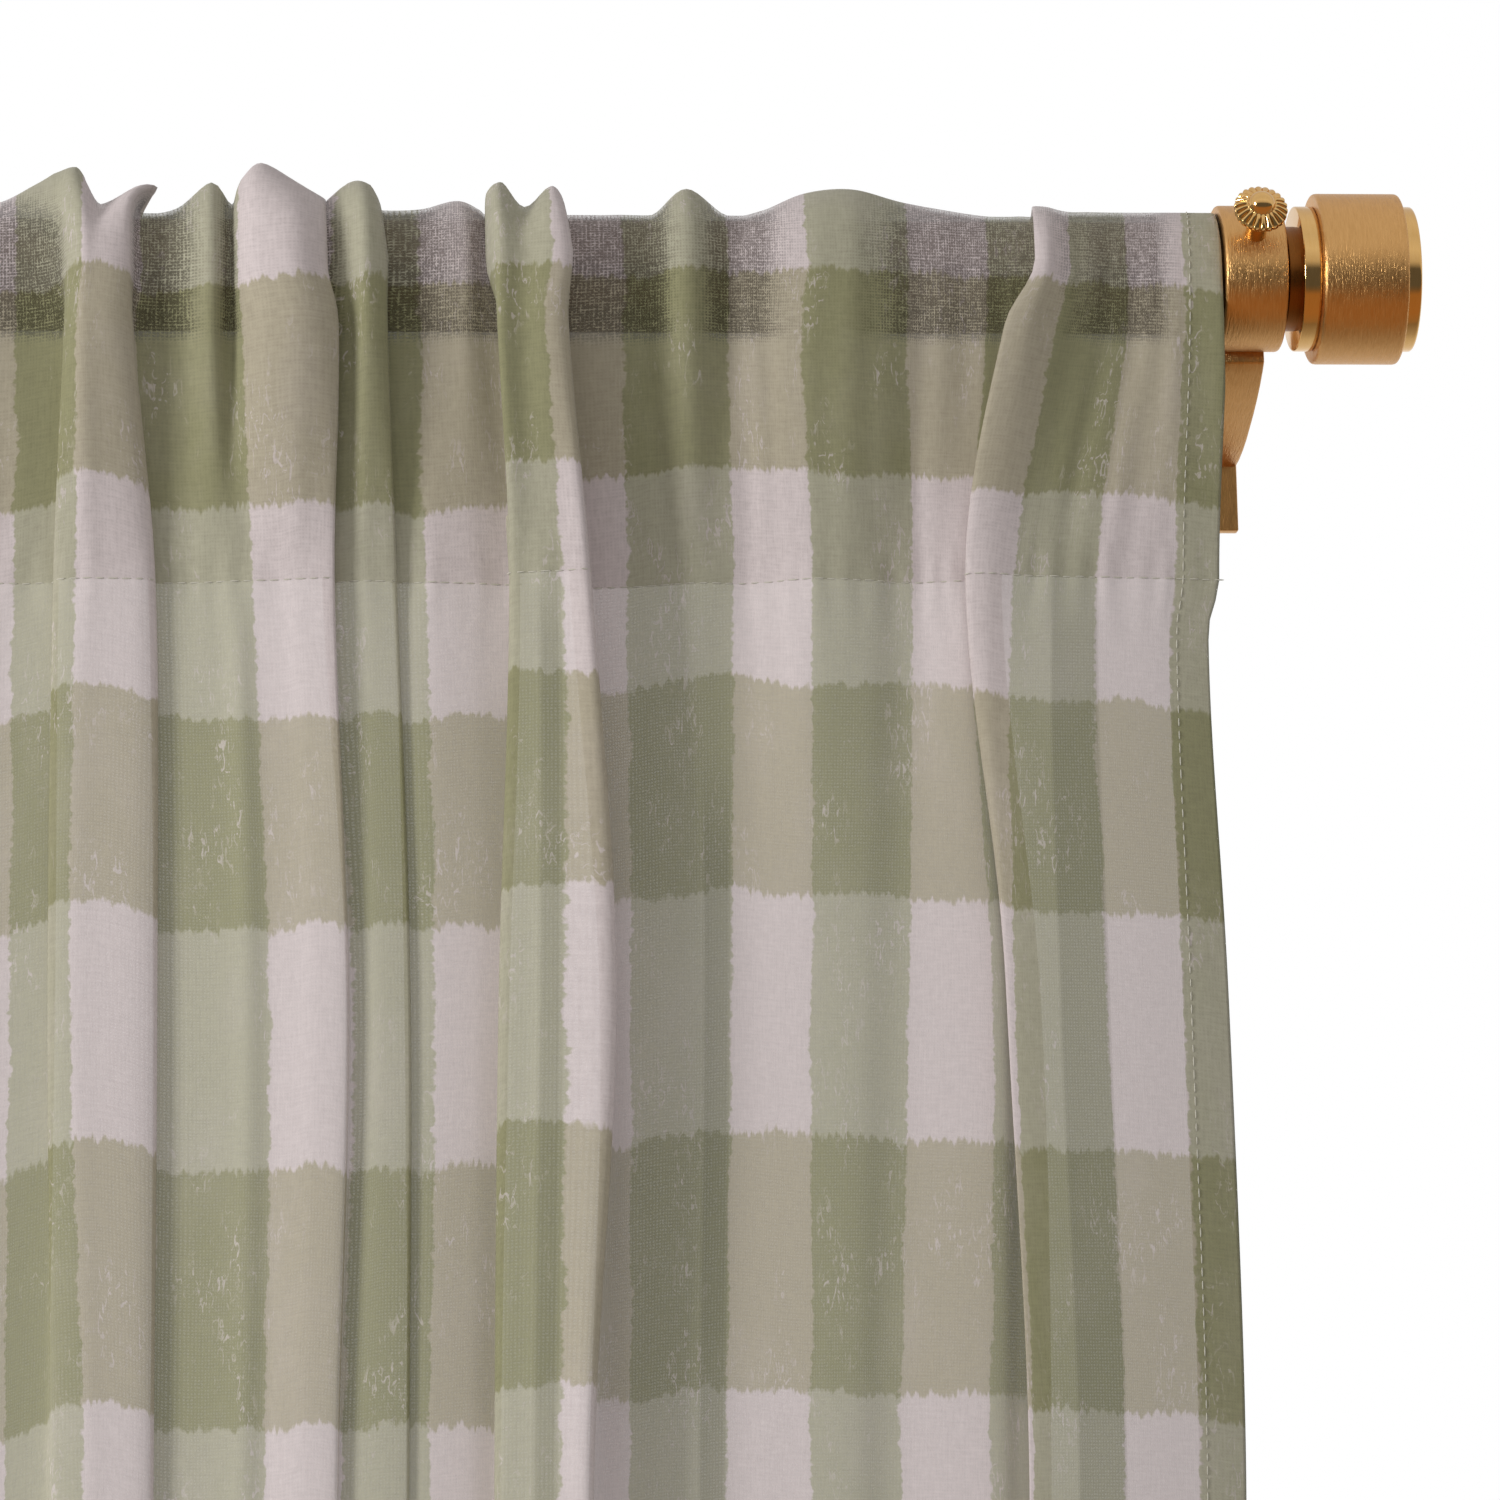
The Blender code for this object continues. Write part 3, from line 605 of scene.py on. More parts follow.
def cloth_grid():
    """The sheet with its hems as points, lengths and flat places, then its face alone."""
    rows = fine_rows()
    relaxed, furthest = [], -1.0
    for row in rows:
        furthest = max(furthest + BACK_APART, row[2])
        relaxed.append(furthest)
    grid, lengths = [], []
    for row, place in zip(rows, relaxed):
        points, down = cloth_column(row, place)
        grid.append(points)
        lengths.append(down)
    normals = grid_normals(grid)
    hem_rows = [k for k, point in enumerate(grid[0]) if -point.z > HEM_DROP - BOTTOM_HEM]
    turned = hem_rows[:0:-1]
    flats = [row[0] for row in rows]
    columns = []
    for i, points in enumerate(grid):
        behind = [points[k] - normals[i][k] * HEM_BEHIND for k in turned]
        up_behind = [2 * lengths[i][0] - lengths[i][k] for k in turned]
        columns.append((behind + points, up_behind + lengths[i], flats[i]))
    whole_grid = [column[0] for column in columns]
    whole_lengths = [column[1] for column in columns]
    right = side_hem(0, flats, whole_grid, whole_lengths, normals, len(turned))
    left = side_hem(-1, flats, whole_grid, whole_lengths, normals, len(turned))
    sheet = list(zip(*(right + columns + left[::-1])))
    return sheet, grid, normals, rows


# the cloth lies tight on the rod up to this far from its axis, clear of it a few mm on,
# and never below this drop
TIGHT_RADIUS, TIGHT_FADE, TIGHT_LOW = 15.5, 4.0, 17.0
# the doubled side hem hides the rod: stripes from its edge to where the rod shows fully
HEM_FADE = 0.5


def on_rod(point):
    """1 where the pocket's front lies tight on the rod, 0 where it stands off."""
    if point.y > 0.0 or -point.z > TIGHT_LOW:
        return 0.0
    away = math.hypot(point.y, max(0.0, point.z))
    return min(1.0, max(0.0, 1.0 - (away - TIGHT_RADIUS) / TIGHT_FADE))


# Painted shade where pleats lie hidden behind the front: no pleat is in the mesh, only
# the shade it gives. From and to in stripes, and the drop that they start at. The shade
# grows over the drop below that.
PLEAT_SHADE_STRIPS = ((1.35, 1.85, 60.0), (7.42, 7.68, 110.0), (9.42, 9.58, 62.0))
PLEAT_GROWS = 25.0


def hidden_pleat_shade(flat, drop):
    """How strong a hidden pleat's painted shade is here, from 0 to 1."""
    for start, end, top in PLEAT_SHADE_STRIPS:
        if start <= flat <= end:
            return min(1.0, max(0.0, (drop - top) / PLEAT_GROWS))
    return 0.0


def make_cloth_mesh(grid, lengths, flats):
    mesh = bmesh.new()
    true_place = mesh.loops.layers.uv.new("cloth")
    check_place = mesh.loops.layers.uv.new("check")
    tight = mesh.verts.layers.float.new("on_rod")
    painted_pleat_shade = mesh.verts.layers.float.new("painted_pleat_shade")
    middle = Vector((0.0, ROD_Y, ROD_Z))
    verts = []
    for line, flat in zip(grid, flats):
        verts.append([])
        for point in line:
            vert = mesh.verts.new((point + middle) * MM)
            vert[tight] = on_rod(point) * min(1.0, max(0.0, flat - SIDE_HEM / STRIPE) / HEM_FADE)
            # the painted shade of a hidden pleat, kept on each point for the cloth's colour
            vert[painted_pleat_shade] = hidden_pleat_shade(flat, -point.z)
            verts[-1].append(vert)
    for i in range(len(grid) - 1):
        for k in range(len(grid[0]) - 1):
            corners = ((i, k), (i, k + 1), (i + 1, k + 1), (i + 1, k))
            face = mesh.faces.new([verts[a][b] for a, b in corners])
            face.smooth = True
            for loop, (a, b) in zip(face.loops, corners):
                loop[true_place].uv = (flats[a] * STRIPE * MM, lengths[a][b] * MM)
                loop[check_place].uv = (flats[a], band_number(lengths[a][b]))
    data = bpy.data.meshes.new("curtain_cloth")
    mesh.to_mesh(data)
    mesh.free()
    return data


# Slub voile with the look of linen: an open plain weave, printed with brushed paint. It
# gives soft matt colour, uneven yarns and pale flecks where the brush skipped. Light shows
# between the yarns, and the rod behind them.
CLOTH_WHITE, CLOTH_SHADE = "#D7CBCA", "#C6BAB9"
SAGE_TINT = "#D5DDC3"
BEIGE_TINT = "#D6D7BE"
# painted shade: what a hidden pleat takes from the light that shows through
PLEAT_SHADE_TINT = "#DEDEDA"
# the real yarns are about 0.5 mm apart, and drawn coarser here so that they show
YARN_PITCH = 0.75
# how far a yarn bends with its slubs, in radians of its wave
YARN_BEND = 2.0
# how soft a painted edge is, in stripes
PRINT_SOFT = 0.012
# where the stripes and the bands start in their repeats
SAGE_SHIFT, BEIGE_SHIFT = 0.55, 0.25
# how much of the paint a skipping brush leaves out, and the thickest paint
SKIP_SHARE, PAINT_MOST = 0.65, 1.15
# how open a gap between yarns is, how open where the cloth is tight over the rod, and what
# makes the gaps larger there
GAP_OPEN, TIGHT_OPEN, TIGHT_MORE = 0.07, 0.66, -1.2
# light that comes straight through each layer, so one layer looks paler than two
LAYER_OPEN = 0.045


def mix_colours(tree, share, under, over, blend="MIX"):
    """The output of a colour mix: under at share 0, over or their blend at share 1."""
    return add_node(
        tree, "ShaderNodeMix", {0: share, 6: under, 7: over}, data_type="RGBA", blend_type=blend
    ).outputs[2]


def make_sheer():
    material, tree = new_material("printed_slub_voile")
    true_place = add_node(tree, "ShaderNodeUVMap", uv_map="cloth")
    check_place = add_node(tree, "ShaderNodeUVMap", uv_map="check")
    place = add_node(tree, "ShaderNodeSeparateXYZ", {0: true_place.outputs[0]})
    check = add_node(tree, "ShaderNodeSeparateXYZ", {0: check_place.outputs[0]})

    def noise_at(scale_u, scale_v, detail, seed, twist=0.0):
        """Noise from its features a metre across the cloth and down it, detail and seed."""
        spread = add_node(tree, "ShaderNodeMapping", {
            "Vector": true_place.outputs[0], "Scale": (scale_u, scale_v, 1.0),
            "Location": (seed, seed, seed),
        })
        return add_node(tree, "ShaderNodeTexNoise", {
            "Vector": spread.outputs[0], "Scale": 1.0, "Detail": detail, "Roughness": 0.6,
            "Distortion": twist,
        }, noise_dimensions="2D").outputs[0]

    def math_of(operation, *values):
        return add_node(
            tree, "ShaderNodeMath", dict(enumerate(values)), operation=operation
        ).outputs[0]

    # painted edges: a slow wobble and a fine bristle, in stripes and in half repeats
    def roughened(axis, *noises):
        """A place in the check, moved by each (features across, down, seed, swing) noise."""
        moved = [
            math_of("MULTIPLY_ADD", noise_at(across, down, 2.0, seed), swing, -swing / 2)
            for across, down, seed, swing in noises
        ]
        return math_of("ADD", check.outputs[axis], math_of("ADD", *moved))

    stripe_at = roughened("X", (12.0, 45.0, 1.3, 0.09), (300.0, 420.0, 4.1, 0.10))
    band_at = roughened("Y", (40.0, 10.0, 8.7, 0.10), (650.0, 160.0, 2.9, 0.09))

    def painted(value, shift):
        """1 inside each painted stripe and 0 between, with a soft edge."""
        phase = math_of("FRACT", math_of("MULTIPLY_ADD", value, 0.5, shift))
        inside = math_of("SUBTRACT", 0.25, math_of("ABSOLUTE", math_of("SUBTRACT", phase, 0.5)))
        half = PRINT_SOFT / 2
        return map_range(tree, inside, -half, half, interpolation_type="SMOOTHSTEP")

    sage = painted(stripe_at, SAGE_SHIFT)
    beige = painted(band_at, BEIGE_SHIFT)

    # dry brush: pale near-upright flecks where the brush skipped, in loose clusters
    fleck = map_range(tree, noise_at(800.0, 300.0, 2.0, 5.5, 1.2), 0.58, 0.68)
    cluster = map_range(tree, noise_at(60.0, 32.0, 3.0, 9.1), 0.50, 0.64)
    skipped = math_of("MULTIPLY", math_of("MULTIPLY", fleck, cluster), SKIP_SHARE)
    load = math_of("MULTIPLY_ADD", noise_at(35.0, 22.0, 4.0, 6.6), 0.5, 0.75)
    cover = math_of("MULTIPLY", math_of("SUBTRACT", 1.0, skipped), load)
    sage_cover = math_of("MINIMUM", math_of("MULTIPLY", sage, cover), PAINT_MOST)
    beige_cover = math_of("MINIMUM", math_of("MULTIPLY", beige, cover), PAINT_MOST)

    # yarns: slubs run a few millimetres along each yarn and bend it
    weft = noise_at(220.0, 1300.0, 2.0, 3.3)
    warp = noise_at(1300.0, 220.0, 2.0, 7.2)
    slub = math_of("ADD", weft, warp)
    yarn = math.tau / (YARN_PITCH * MM)
    warp_bend = math_of("MULTIPLY", weft, YARN_BEND)
    weft_bend = math_of("MULTIPLY", warp, YARN_BEND)
    warp_wave = math_of("SINE", math_of("MULTIPLY_ADD", place.outputs["X"], yarn, warp_bend))
    weft_wave = math_of("SINE", math_of("MULTIPLY_ADD", place.outputs["Y"], yarn, weft_bend))
    crossing = math_of("MINIMUM", warp_wave, weft_wave)

    # colour: thin paint on uneven white, so each print darkens what is under it
    thick = math_of("MULTIPLY_ADD", slub, 1.0, -0.5)
    white = mix_colours(tree, thick, linear(CLOTH_SHADE), linear(CLOTH_WHITE))
    with_sage = mix_colours(tree, sage_cover, white, linear(SAGE_TINT), "MULTIPLY")
    colour = mix_colours(tree, beige_cover, with_sage, linear(BEIGE_TINT), "MULTIPLY")
    # painted shade: darker strips where a hidden pleat would hold back the light
    behind = add_node(tree, "ShaderNodeAttribute", attribute_name="painted_pleat_shade").outputs["Fac"]
    shown = mix_colours(tree, behind, colour, linear(PLEAT_SHADE_TINT), "MULTIPLY")

    # gaps between the yarns, larger and more open where the cloth is tight on the rod
    tight = add_node(tree, "ShaderNodeAttribute", attribute_name="on_rod").outputs["Fac"]
    speck = noise_at(1800.0, 1800.0, 2.0, 4.4)
    edge = math_of("MULTIPLY_ADD", slub, 1.6, math_of("MULTIPLY_ADD", speck, 3.2, -3.0))
    edge = math_of("MULTIPLY_ADD", tight, TIGHT_MORE, edge)
    past_edge = math_of("SUBTRACT", crossing, edge)
    gap = map_range(tree, past_edge, -0.8, 0.8, interpolation_type="SMOOTHSTEP")
    opening = math_of("MULTIPLY_ADD", tight, TIGHT_OPEN - GAP_OPEN, GAP_OPEN)
    covered = math_of("SUBTRACT", 1.0, math_of("MULTIPLY", gap, opening))
    alpha = math_of("MULTIPLY", covered, 1.0 - LAYER_OPEN)
    height = math_of("MULTIPLY_ADD", gap, -0.5, speck)
    bump = add_node(tree, "ShaderNodeBump", {"Height": height, "Strength": 0.3, "Distance": 0.00006})
    give_shader(tree, {
        "Base Color": shown, "Alpha": alpha, "Roughness": 0.9,
        "Specular IOR Level": 0.15, "Sheen Weight": 0.1, "Normal": bump.outputs[0],
    })
    return material


whole_sheet, front_grid, front_normals, cloth_rows = cloth_grid()
cloth = link_object("curtain_cloth", make_cloth_mesh(*whole_sheet), make_sheer())
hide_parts("curtain_panel")
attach(cloth, "root")


# Stitches. Spun polyester thread, one row along the pocket's seam and one along each hem,
# lockstitched, so short rounded stitches lie in a line on the cloth's face.
STITCH_PITCH, STITCH_LENGTH, THREAD = 3.0, 2.3, 0.32
# how far a stitch's middle stands proud of the cloth
STITCH_PROUD = 0.08
STITCH_SHORT, STITCH_LONG, STITCH_SEED = 0.8, 1.1, 11


def stitch_tree(material):
    tree = bpy.data.node_groups.new("stitches_along_a_line", "GeometryNodeTree")
    face = tree.interface
    face.new_socket("Line", in_out="INPUT", socket_type="NodeSocketGeometry")
    sockets = [
        face.new_socket(name, in_out="INPUT", socket_type="NodeSocketFloat").identifier
        for name in ("Pitch", "Stitch length", "Thread width")
    ]
    face.new_socket("Stitches", in_out="OUTPUT", socket_type="NodeSocketGeometry")
    given = add_node(tree, "NodeGroupInput")
    curve = add_node(tree, "GeometryNodeMeshToCurve", {0: given.outputs["Line"]})
    spaced = add_node(
        tree, "GeometryNodeResampleCurve",
        {"Curve": curve.outputs[0], "Length": given.outputs["Pitch"]}, mode="LENGTH",
    )
    tangent = add_node(tree, "GeometryNodeInputTangent")
    aim = add_node(tree, "FunctionNodeAlignRotationToVector", {"Vector": tangent.outputs[0]}, axis="Z")
    stitch = add_node(tree, "GeometryNodeMeshUVSphere", {"Segments": 6, "Rings": 5, "Radius": 0.5})
    wander = add_node(
        tree, "FunctionNodeRandomValue",
        {2: STITCH_SHORT, 3: STITCH_LONG, "Seed": STITCH_SEED}, data_type="FLOAT",
    )
    long_side = add_node(
        tree, "ShaderNodeMath",
        {0: given.outputs["Stitch length"], 1: wander.outputs[1]}, operation="MULTIPLY",
    )
    size = add_node(
        tree, "ShaderNodeCombineXYZ",
        {0: given.outputs["Thread width"], 1: given.outputs["Thread width"], 2: long_side.outputs[0]},
    )
    laid = add_node(tree, "GeometryNodeInstanceOnPoints", {
        "Points": spaced.outputs[0], "Instance": stitch.outputs[0],
        "Rotation": aim.outputs[0], "Scale": size.outputs[0],
    })
    whole = add_node(tree, "GeometryNodeRealizeInstances", {0: laid.outputs[0]})
    smooth = add_node(tree, "GeometryNodeSetShadeSmooth", {0: whole.outputs[0]})
    painted = add_node(tree, "GeometryNodeSetMaterial", {0: smooth.outputs[0], "Material": material})
    add_node(tree, "NodeGroupOutput", {0: painted.outputs[0]})
    return tree, sockets


# Spun polyester thread is matt, and its twist gives fine light and dark specks. It is a
# little darker than the cloth's white, so the seams show faintly.
THREAD_DARK, THREAD_LIGHT = "#B6B2A4", "#CCC8BA"


def make_thread():
    material, tree = new_material("spun_polyester_thread")
    place = add_node(tree, "ShaderNodeTexCoord")
    twist = add_node(tree, "ShaderNodeTexNoise", {"Vector": place.outputs["Object"], "Scale": 1800.0})
    tone = mix_colours(tree, twist.outputs[0], linear(THREAD_DARK), linear(THREAD_LIGHT))
    give_shader(tree, {"Base Color": tone, "Roughness": 0.7})
    return material


def line_mesh(name, points):
    mesh = bpy.data.meshes.new(name)
    mesh.from_pydata([p * MM for p in points], [(n, n + 1) for n in range(len(points) - 1)], [])
    return mesh


def make_stitches(name, points, tree, sockets):
    item = link_object(name, line_mesh(name + "_line", points))
    change = item.modifiers.new("stitches", "NODES")
    change.node_group = tree
    for socket, size in zip(sockets, (STITCH_PITCH, STITCH_LENGTH, THREAD)):
        change[socket] = size * MM
    bpy.context.view_layer.update()
    ready = item.evaluated_get(bpy.context.evaluated_depsgraph_get())
    plain = bpy.data.meshes.new_from_object(ready)
    item.modifiers.clear()
    item.data = plain
    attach(item, "root")
    return item


def cloth_line(picks):
    middle = Vector((0.0, ROD_Y, ROD_Z))
    return [front_grid[i][k] + front_normals[i][k] * STITCH_PROUD + middle for i, k in picks]


thread_tree, thread_sockets = stitch_tree(make_thread())
seam_stop = len(front_stops()[0])
hem_stop = min(range(seam_stop), key=lambda k: abs(-front_grid[0][k].z - HEM_DROP + BOTTOM_HEM))
# a hem's stitches run 1 mm inside its turned edge, and up to 30 rows above the seam,
# which is nearly to the rod's top
hem_inset = 0.04
hem_places = (SIDE_HEM / STRIPE - hem_inset, FLAT_WIDTH / STRIPE - SIDE_HEM / STRIPE + hem_inset)
all_columns = range(len(cloth_rows))
hem_columns = [min(all_columns, key=lambda i: abs(cloth_rows[i][0] - flat)) for flat in hem_places]
hem_top = seam_stop + 30
stitch_lines = {
    "pocket_seam_stitches": [(i, seam_stop) for i in all_columns],
    "bottom_hem_stitches": [(i, hem_stop) for i in all_columns],
    "right_hem_stitches": [(hem_columns[0], k) for k in range(hem_top)],
    "left_hem_stitches": [(hem_columns[1], k) for k in range(hem_top)],
}
stitched = [
    make_stitches(name, cloth_line(picks), thread_tree, thread_sockets)
    for name, picks in stitch_lines.items()
]


# Rod. A drawn brass tube that runs inside the pocket from collar to collar. It shows only
# through the cloth, as a dark band with a crisp lower edge.

# Lines run round the axis, drawn about 0.4 mm apart so that they show. Real ones are finer.
BRUSH_SCALE = (2600.0, 300.0, 300.0)
BRUSH_ROUGHER = 0.06


def make_brass(name, dark, light, roughness, line_depth):
    """Brass that was worked round the rod's axis, with lines as deep as line_depth says."""
    material, tree = new_material(name)
    place = add_node(tree, "ShaderNodeTexCoord")
    spread = add_node(
        tree, "ShaderNodeMapping", {"Vector": place.outputs["Object"], "Scale": BRUSH_SCALE}
    )
    lines = add_node(
        tree, "ShaderNodeTexNoise",
        {"Vector": spread.outputs[0], "Scale": 1.0, "Detail": 3.0, "Roughness": 0.65},
    )
    tone = mix_colours(tree, lines.outputs[0], linear(dark), linear(light))
    gloss = add_node(tree, "ShaderNodeMapRange", {
        "Value": lines.outputs[0], "From Min": 0.3, "From Max": 0.7,
        "To Min": roughness - BRUSH_ROUGHER, "To Max": roughness + BRUSH_ROUGHER,
    })
    bump = add_node(
        tree, "ShaderNodeBump",
        {"Height": lines.outputs[0], "Strength": line_depth, "Distance": 0.1 * MM},
    )
    give_shader(tree, {
        "Base Color": tone, "Metallic": 1.0,
        "Roughness": gloss.outputs[0], "Normal": bump.outputs[0],
    })
    return material


# never lacquered, with little shine; its dull dark brown is painted shade, the shade inside the pocket
pocket_shade_brass = make_brass("drawn_brass_in_painted_pocket_shade", "#3A2A1B", "#5E452C", 0.5, 0.4)
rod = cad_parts["rod"]
rod.data.materials.clear()
rod.data.materials.append(pocket_shade_brass)


# Brackets. A turned collar that the rod lies in, brazed to a bent flat bar that ends in
# an upright wall plate. All brass, brushed.
COLLAR_START, COLLAR_END = -6.0, 8.5
COLLAR_OUTER, COLLAR_INNER = 16.6, 13.1
COLLAR_SOFT, BAR_SOFT, PLATE_SOFT = 0.9, 0.5, 0.4
TURNED_STEPS = 128
# faces that meet at more than this many degrees keep a sharp edge, and the bar's and the
# plate's edges are softened from this many radians
SHARP_ANGLE, SOFTEN_ANGLE = 38.0, 0.6
BAR_WIDTH = 11.0
PLATE_THICKNESS, PLATE_TOP, PLATE_BOTTOM = 3.0, 34.0, -34.0
BAR_SECTIONS = (
    # back from the rod's axis, down from it, height
    (4.0, 18.6, 3.6),
    (6.7, 20.4, 6.4),
    (11.0, 22.8, 7.6),
    (15.7, 24.9, 8.4),
    (21.0, 27.0, 8.4),
    (26.3, 28.7, 8.2),
    (31.6, 30.4, 7.9),
    (37.0, 31.7, 7.6),
    (42.0, 32.5, 7.4),
    (47.4, 32.9, 7.2),
)
# brushed and lacquered: a warm shine that fine lines draw out across the turned shape
brushed_brass = make_brass("brushed_lacquered_brass", "#C4945A", "#ECBE80", 0.37, 2.2)


def rounded(outline, radius, steps=4):
    """An open outline of (x, r) points with its corners turned into small arcs."""
    out = [outline[0]]
    for before, corner, after in zip(outline, outline[1:], outline[2:]):
        middle = Vector(corner)
        back, on = Vector(before) - middle, Vector(after) - middle
        cut = min(radius, back.length * 0.45, on.length * 0.45)
        start, end = middle + back.normalized() * cut, middle + on.normalized() * cut
        for n in range(steps + 1):
            t = n / steps
            out.append(tuple(start * (1 - t) ** 2 + middle * 2 * t * (1 - t) + end * t * t))
    out.append(outline[-1])
    return out


def join_rings(mesh, rings):
    """Adds smooth faces from each ring of vertices to the next."""
    for low, high in zip(rings, rings[1:]):
        for n in range(len(low)):
            m = (n + 1) % len(low)
            mesh.faces.new((low[n], low[m], high[m], high[n])).smooth = True


def turn_shape(mesh, outline, closed=False):
    """Adds the shape turned about the rod's axis from (x, radius) points."""
    rings = []
    for x, radius in outline:
        ring = []
        for n in range(TURNED_STEPS):
            turn = math.tau * n / TURNED_STEPS
            spot = Vector((x, ROD_Y + radius * math.cos(turn), ROD_Z + radius * math.sin(turn)))
            ring.append(mesh.verts.new(spot * MM))
        rings.append(ring)
    join_rings(mesh, rings + rings[:1] if closed else rings)


def finish_pair(name, mesh, material, node):
    """Makes the right piece, mirrors it to the left end, and gives both to the frame."""
    bmesh.ops.remove_doubles(mesh, verts=mesh.verts, dist=0.001 * MM)
    bmesh.ops.recalc_face_normals(mesh, faces=mesh.faces)
    pieces = []
    for side in ("right", "left"):
        copy = mesh.copy()
        if side == "left":
            for vert in copy.verts:
                vert.co.x = -BRACKET_SPACING * MM - vert.co.x
            bmesh.ops.reverse_faces(copy, faces=copy.faces)
        data = bpy.data.meshes.new(f"{name}_{side}")
        copy.to_mesh(data)
        copy.free()
        data.set_sharp_from_angle(angle=math.radians(SHARP_ANGLE))
        piece = link_object(f"{name}_{side}", data, material)
        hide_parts(f"{node}_{side}")
        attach(piece, "root")
        pieces.append(piece)
    mesh.free()
    return pieces


def rounded_block(mesh, points, depth_from, depth_to, soft):
    """A prism along X with its long edges and its ends softened."""
    block = bmesh.new()
    face = block.faces.new([block.verts.new((depth_from * MM, y * MM, z * MM)) for y, z in points])
    grown = bmesh.ops.extrude_face_region(block, geom=[face])
    moved = [item for item in grown["geom"] if isinstance(item, bmesh.types.BMVert)]
    bmesh.ops.translate(block, verts=moved, vec=((depth_to - depth_from) * MM, 0.0, 0.0))
    bmesh.ops.recalc_face_normals(block, faces=block.faces)
    sharp = [
        edge for edge in block.edges
        if len(edge.link_faces) == 2 and edge.calc_face_angle() > SOFTEN_ANGLE
    ]
    bmesh.ops.bevel(
        block, geom=sharp, offset=soft * MM, segments=2, profile=0.5, affect="EDGES",
        clamp_overlap=True,
    )
    data = bpy.data.meshes.new("block")
    block.to_mesh(data)
    block.free()
    mesh.from_mesh(data)
    bpy.data.meshes.remove(data)


def make_brackets():
    mesh = bmesh.new()
    ring = [
        (COLLAR_END, COLLAR_INNER), (COLLAR_END, COLLAR_OUTER), (COLLAR_START, COLLAR_OUTER),
        (COLLAR_START, COLLAR_INNER),
    ]
    turn_shape(mesh, rounded(ring, COLLAR_SOFT), closed=True)
    under = [(back + ROD_Y, ROD_Z - down) for back, down, _ in BAR_SECTIONS]
    over = [(back + ROD_Y, ROD_Z - down + high) for back, down, high in BAR_SECTIONS]
    rounded_block(mesh, under + over[::-1], -BAR_WIDTH / 2, BAR_WIDTH / 2, BAR_SOFT)
    plate = [
        (-PLATE_THICKNESS, PLATE_BOTTOM), (0.0, PLATE_BOTTOM), (0.0, PLATE_TOP),
        (-PLATE_THICKNESS, PLATE_TOP),
    ]
    rounded_block(mesh, plate, -BAR_WIDTH / 2, BAR_WIDTH / 2, PLATE_SOFT)
    finish_pair("rod_bracket", mesh, brushed_brass, "bracket")


make_brackets()


# Thumbscrews. Turned and polished brass, with a fluted rim to grip and a domed middle. It
# is screwed through the collar's upper front onto the rod.
SCREW_TILT, SCREW_X = 25.0, 1.25
# flutes round the rim, points in each, and how round a flute is
SCREW_GRIPS, SCREW_POINTS, FLUTE_ROUND = 22, 10, 0.8
SCREW_RINGS = (
    # distance from the rod's axis, radius, depth of the flutes inwards, and back
    (13.2, 2.4, 0.0, 0.0), (21.8, 2.4, 0.0, 0.0), (22.2, 3.0, 0.0, 0.0), (23.0, 4.4, 0.0, 0.0),
    (23.8, 5.5, 0.15, 0.0), (24.4, 6.0, 0.3, 0.0), (25.4, 6.15, 0.35, 0.0),
    (25.9, 6.1, 0.35, 0.15), (26.2, 5.8, 0.3, 0.45), (26.6, 5.1, 0.15, 0.6),
    (27.0, 4.3, 0.0, 0.6), (27.25, 3.7, 0.0, 0.4), (27.2, 3.3, 0.0, 0.1), (27.3, 3.1, 0.0, 0.0),
    (27.9, 2.95, 0.0, 0.0), (28.5, 2.65, 0.0, 0.0), (29.1, 2.15, 0.0, 0.0), (29.5, 1.6, 0.0, 0.0),
    (29.75, 1.0, 0.0, 0.0), (29.85, 0.4, 0.0, 0.0),
)
# polished and lacquered: pale and mirror-like, so the flutes flash light and dark
polished_brass = make_brass("polished_lacquered_brass", "#DDB06A", "#EBC486", 0.10, 0.06)


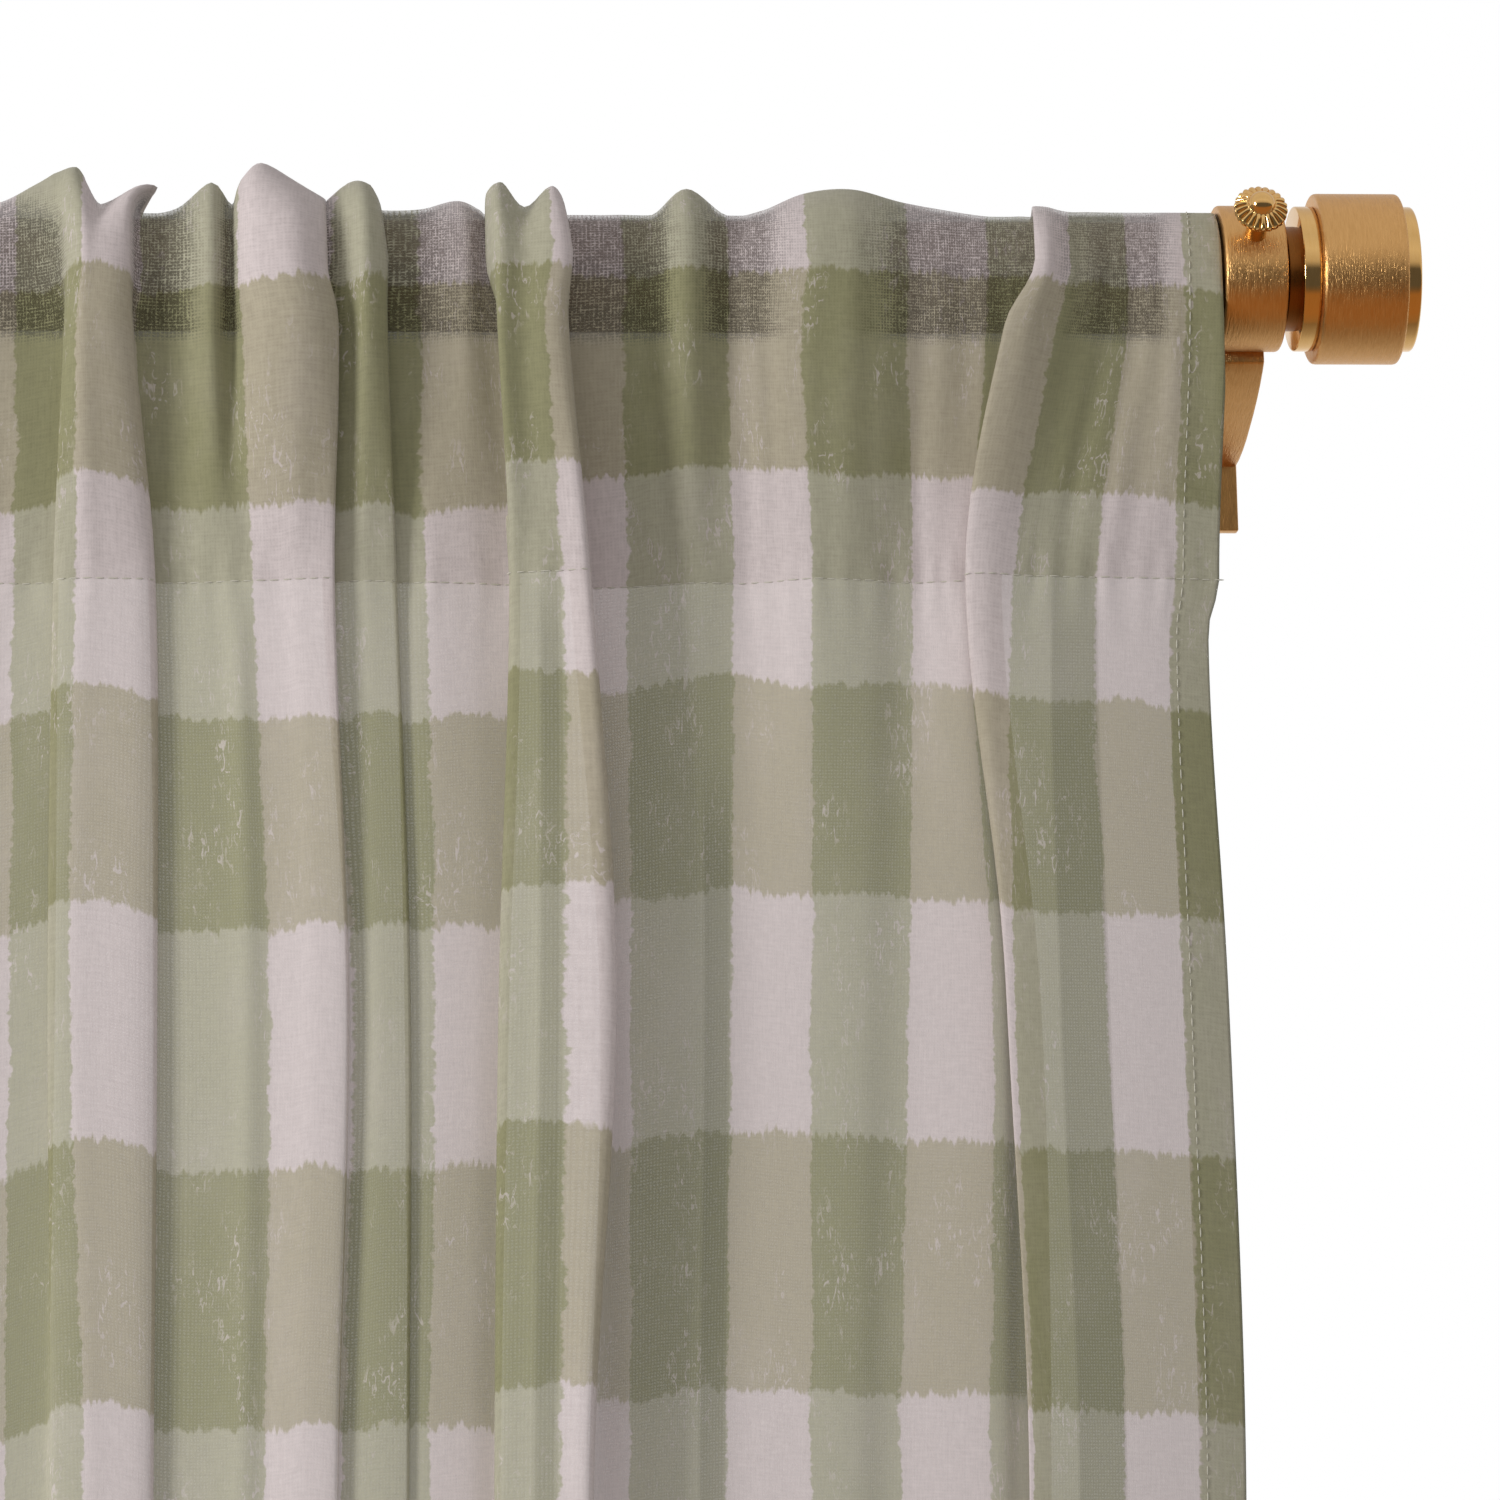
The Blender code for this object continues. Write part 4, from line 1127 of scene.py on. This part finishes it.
def make_thumbscrews():
    tilt = math.radians(SCREW_TILT)
    aim = Vector((0.0, -math.cos(tilt), math.sin(tilt)))
    side = Vector((1.0, 0.0, 0.0))
    across = aim.cross(side)
    base = Vector((SCREW_X, ROD_Y, ROD_Z))
    mesh = bmesh.new()
    points = SCREW_GRIPS * SCREW_POINTS
    rings = []
    for distance, radius, inwards, back in SCREW_RINGS:
        ring = []
        for n in range(points):
            turn = math.tau * n / points
            flute = 1.0 - abs(math.sin(SCREW_GRIPS * turn / 2)) ** FLUTE_ROUND
            r = radius - inwards * flute
            spot = base + aim * (distance - back * flute)
            spot += (side * math.cos(turn) + across * math.sin(turn)) * r
            ring.append(mesh.verts.new(spot * MM))
        rings.append(ring)
    join_rings(mesh, rings)
    mesh.faces.new(reversed(rings[0]))
    mesh.faces.new(rings[-1])
    finish_pair("fluted_thumbscrew", mesh, polished_brass, "thumbscrew")


make_thumbscrews()


# Finials. A turned brass end cap: a neck in the tube, a polished disc, a brushed barrel
# with softened rims, and a smaller polished disc on the end.
FINIAL_PARTS = (
    # how soft its corners are, outline of (x, radius) points
    (0.3, ((-11.0, 0.0), (-11.0, 11.2), (9.3, 11.2), (9.3, 11.9), (12.3, 11.9))),
    (0.45, ((12.0, 0.0), (12.0, 16.5), (16.0, 16.5), (16.0, 15.9), (16.4, 15.9))),
    (1.0, ((16.2, 15.0), (16.2, 19.4), (35.8, 19.4), (35.8, 15.0))),
    (0.8, ((35.6, 16.5), (39.1, 16.5), (39.1, 0.0))),
)
# the finishes and the neck's painted shade change here: the barrel's two ends, and the
# neck's radius
BARREL_START, BARREL_END, NECK_RADIUS = 16.15, 35.7, 12.0
# painted shade: a dark brown neck in the gap between collar and disc, where shade falls
neck_shade_brass = make_brass("neck_shade_brass", "#6E4420", "#9A6430", 0.34, 0.5)
# a finial's material slots, after the brushed brass in slot 0
POLISHED, NECK_SHADE = 1, 2


def make_finials():
    mesh = bmesh.new()
    for soft, outline in FINIAL_PARTS:
        turn_shape(mesh, rounded(outline, soft))
    for piece in finish_pair("turned_finial", mesh, brushed_brass, "finial"):
        piece.data.materials.append(polished_brass)
        piece.data.materials.append(neck_shade_brass)
        for face in piece.data.polygons:
            spots = [piece.data.vertices[v].co for v in face.vertices]
            x = sum(s.x for s in spots) / len(spots) / MM
            # on the left finial, this is the mirror image's place
            x = max(x, -BRACKET_SPACING - x)
            from_axis = max(math.hypot(s.y / MM - ROD_Y, s.z / MM - ROD_Z) for s in spots)
            if x > BARREL_END or (x < BARREL_START and from_axis > NECK_RADIUS):
                face.material_index = POLISHED
            elif x < BARREL_START:
                # the neck between collar and disc takes the painted shade
                face.material_index = NECK_SHADE


make_finials()
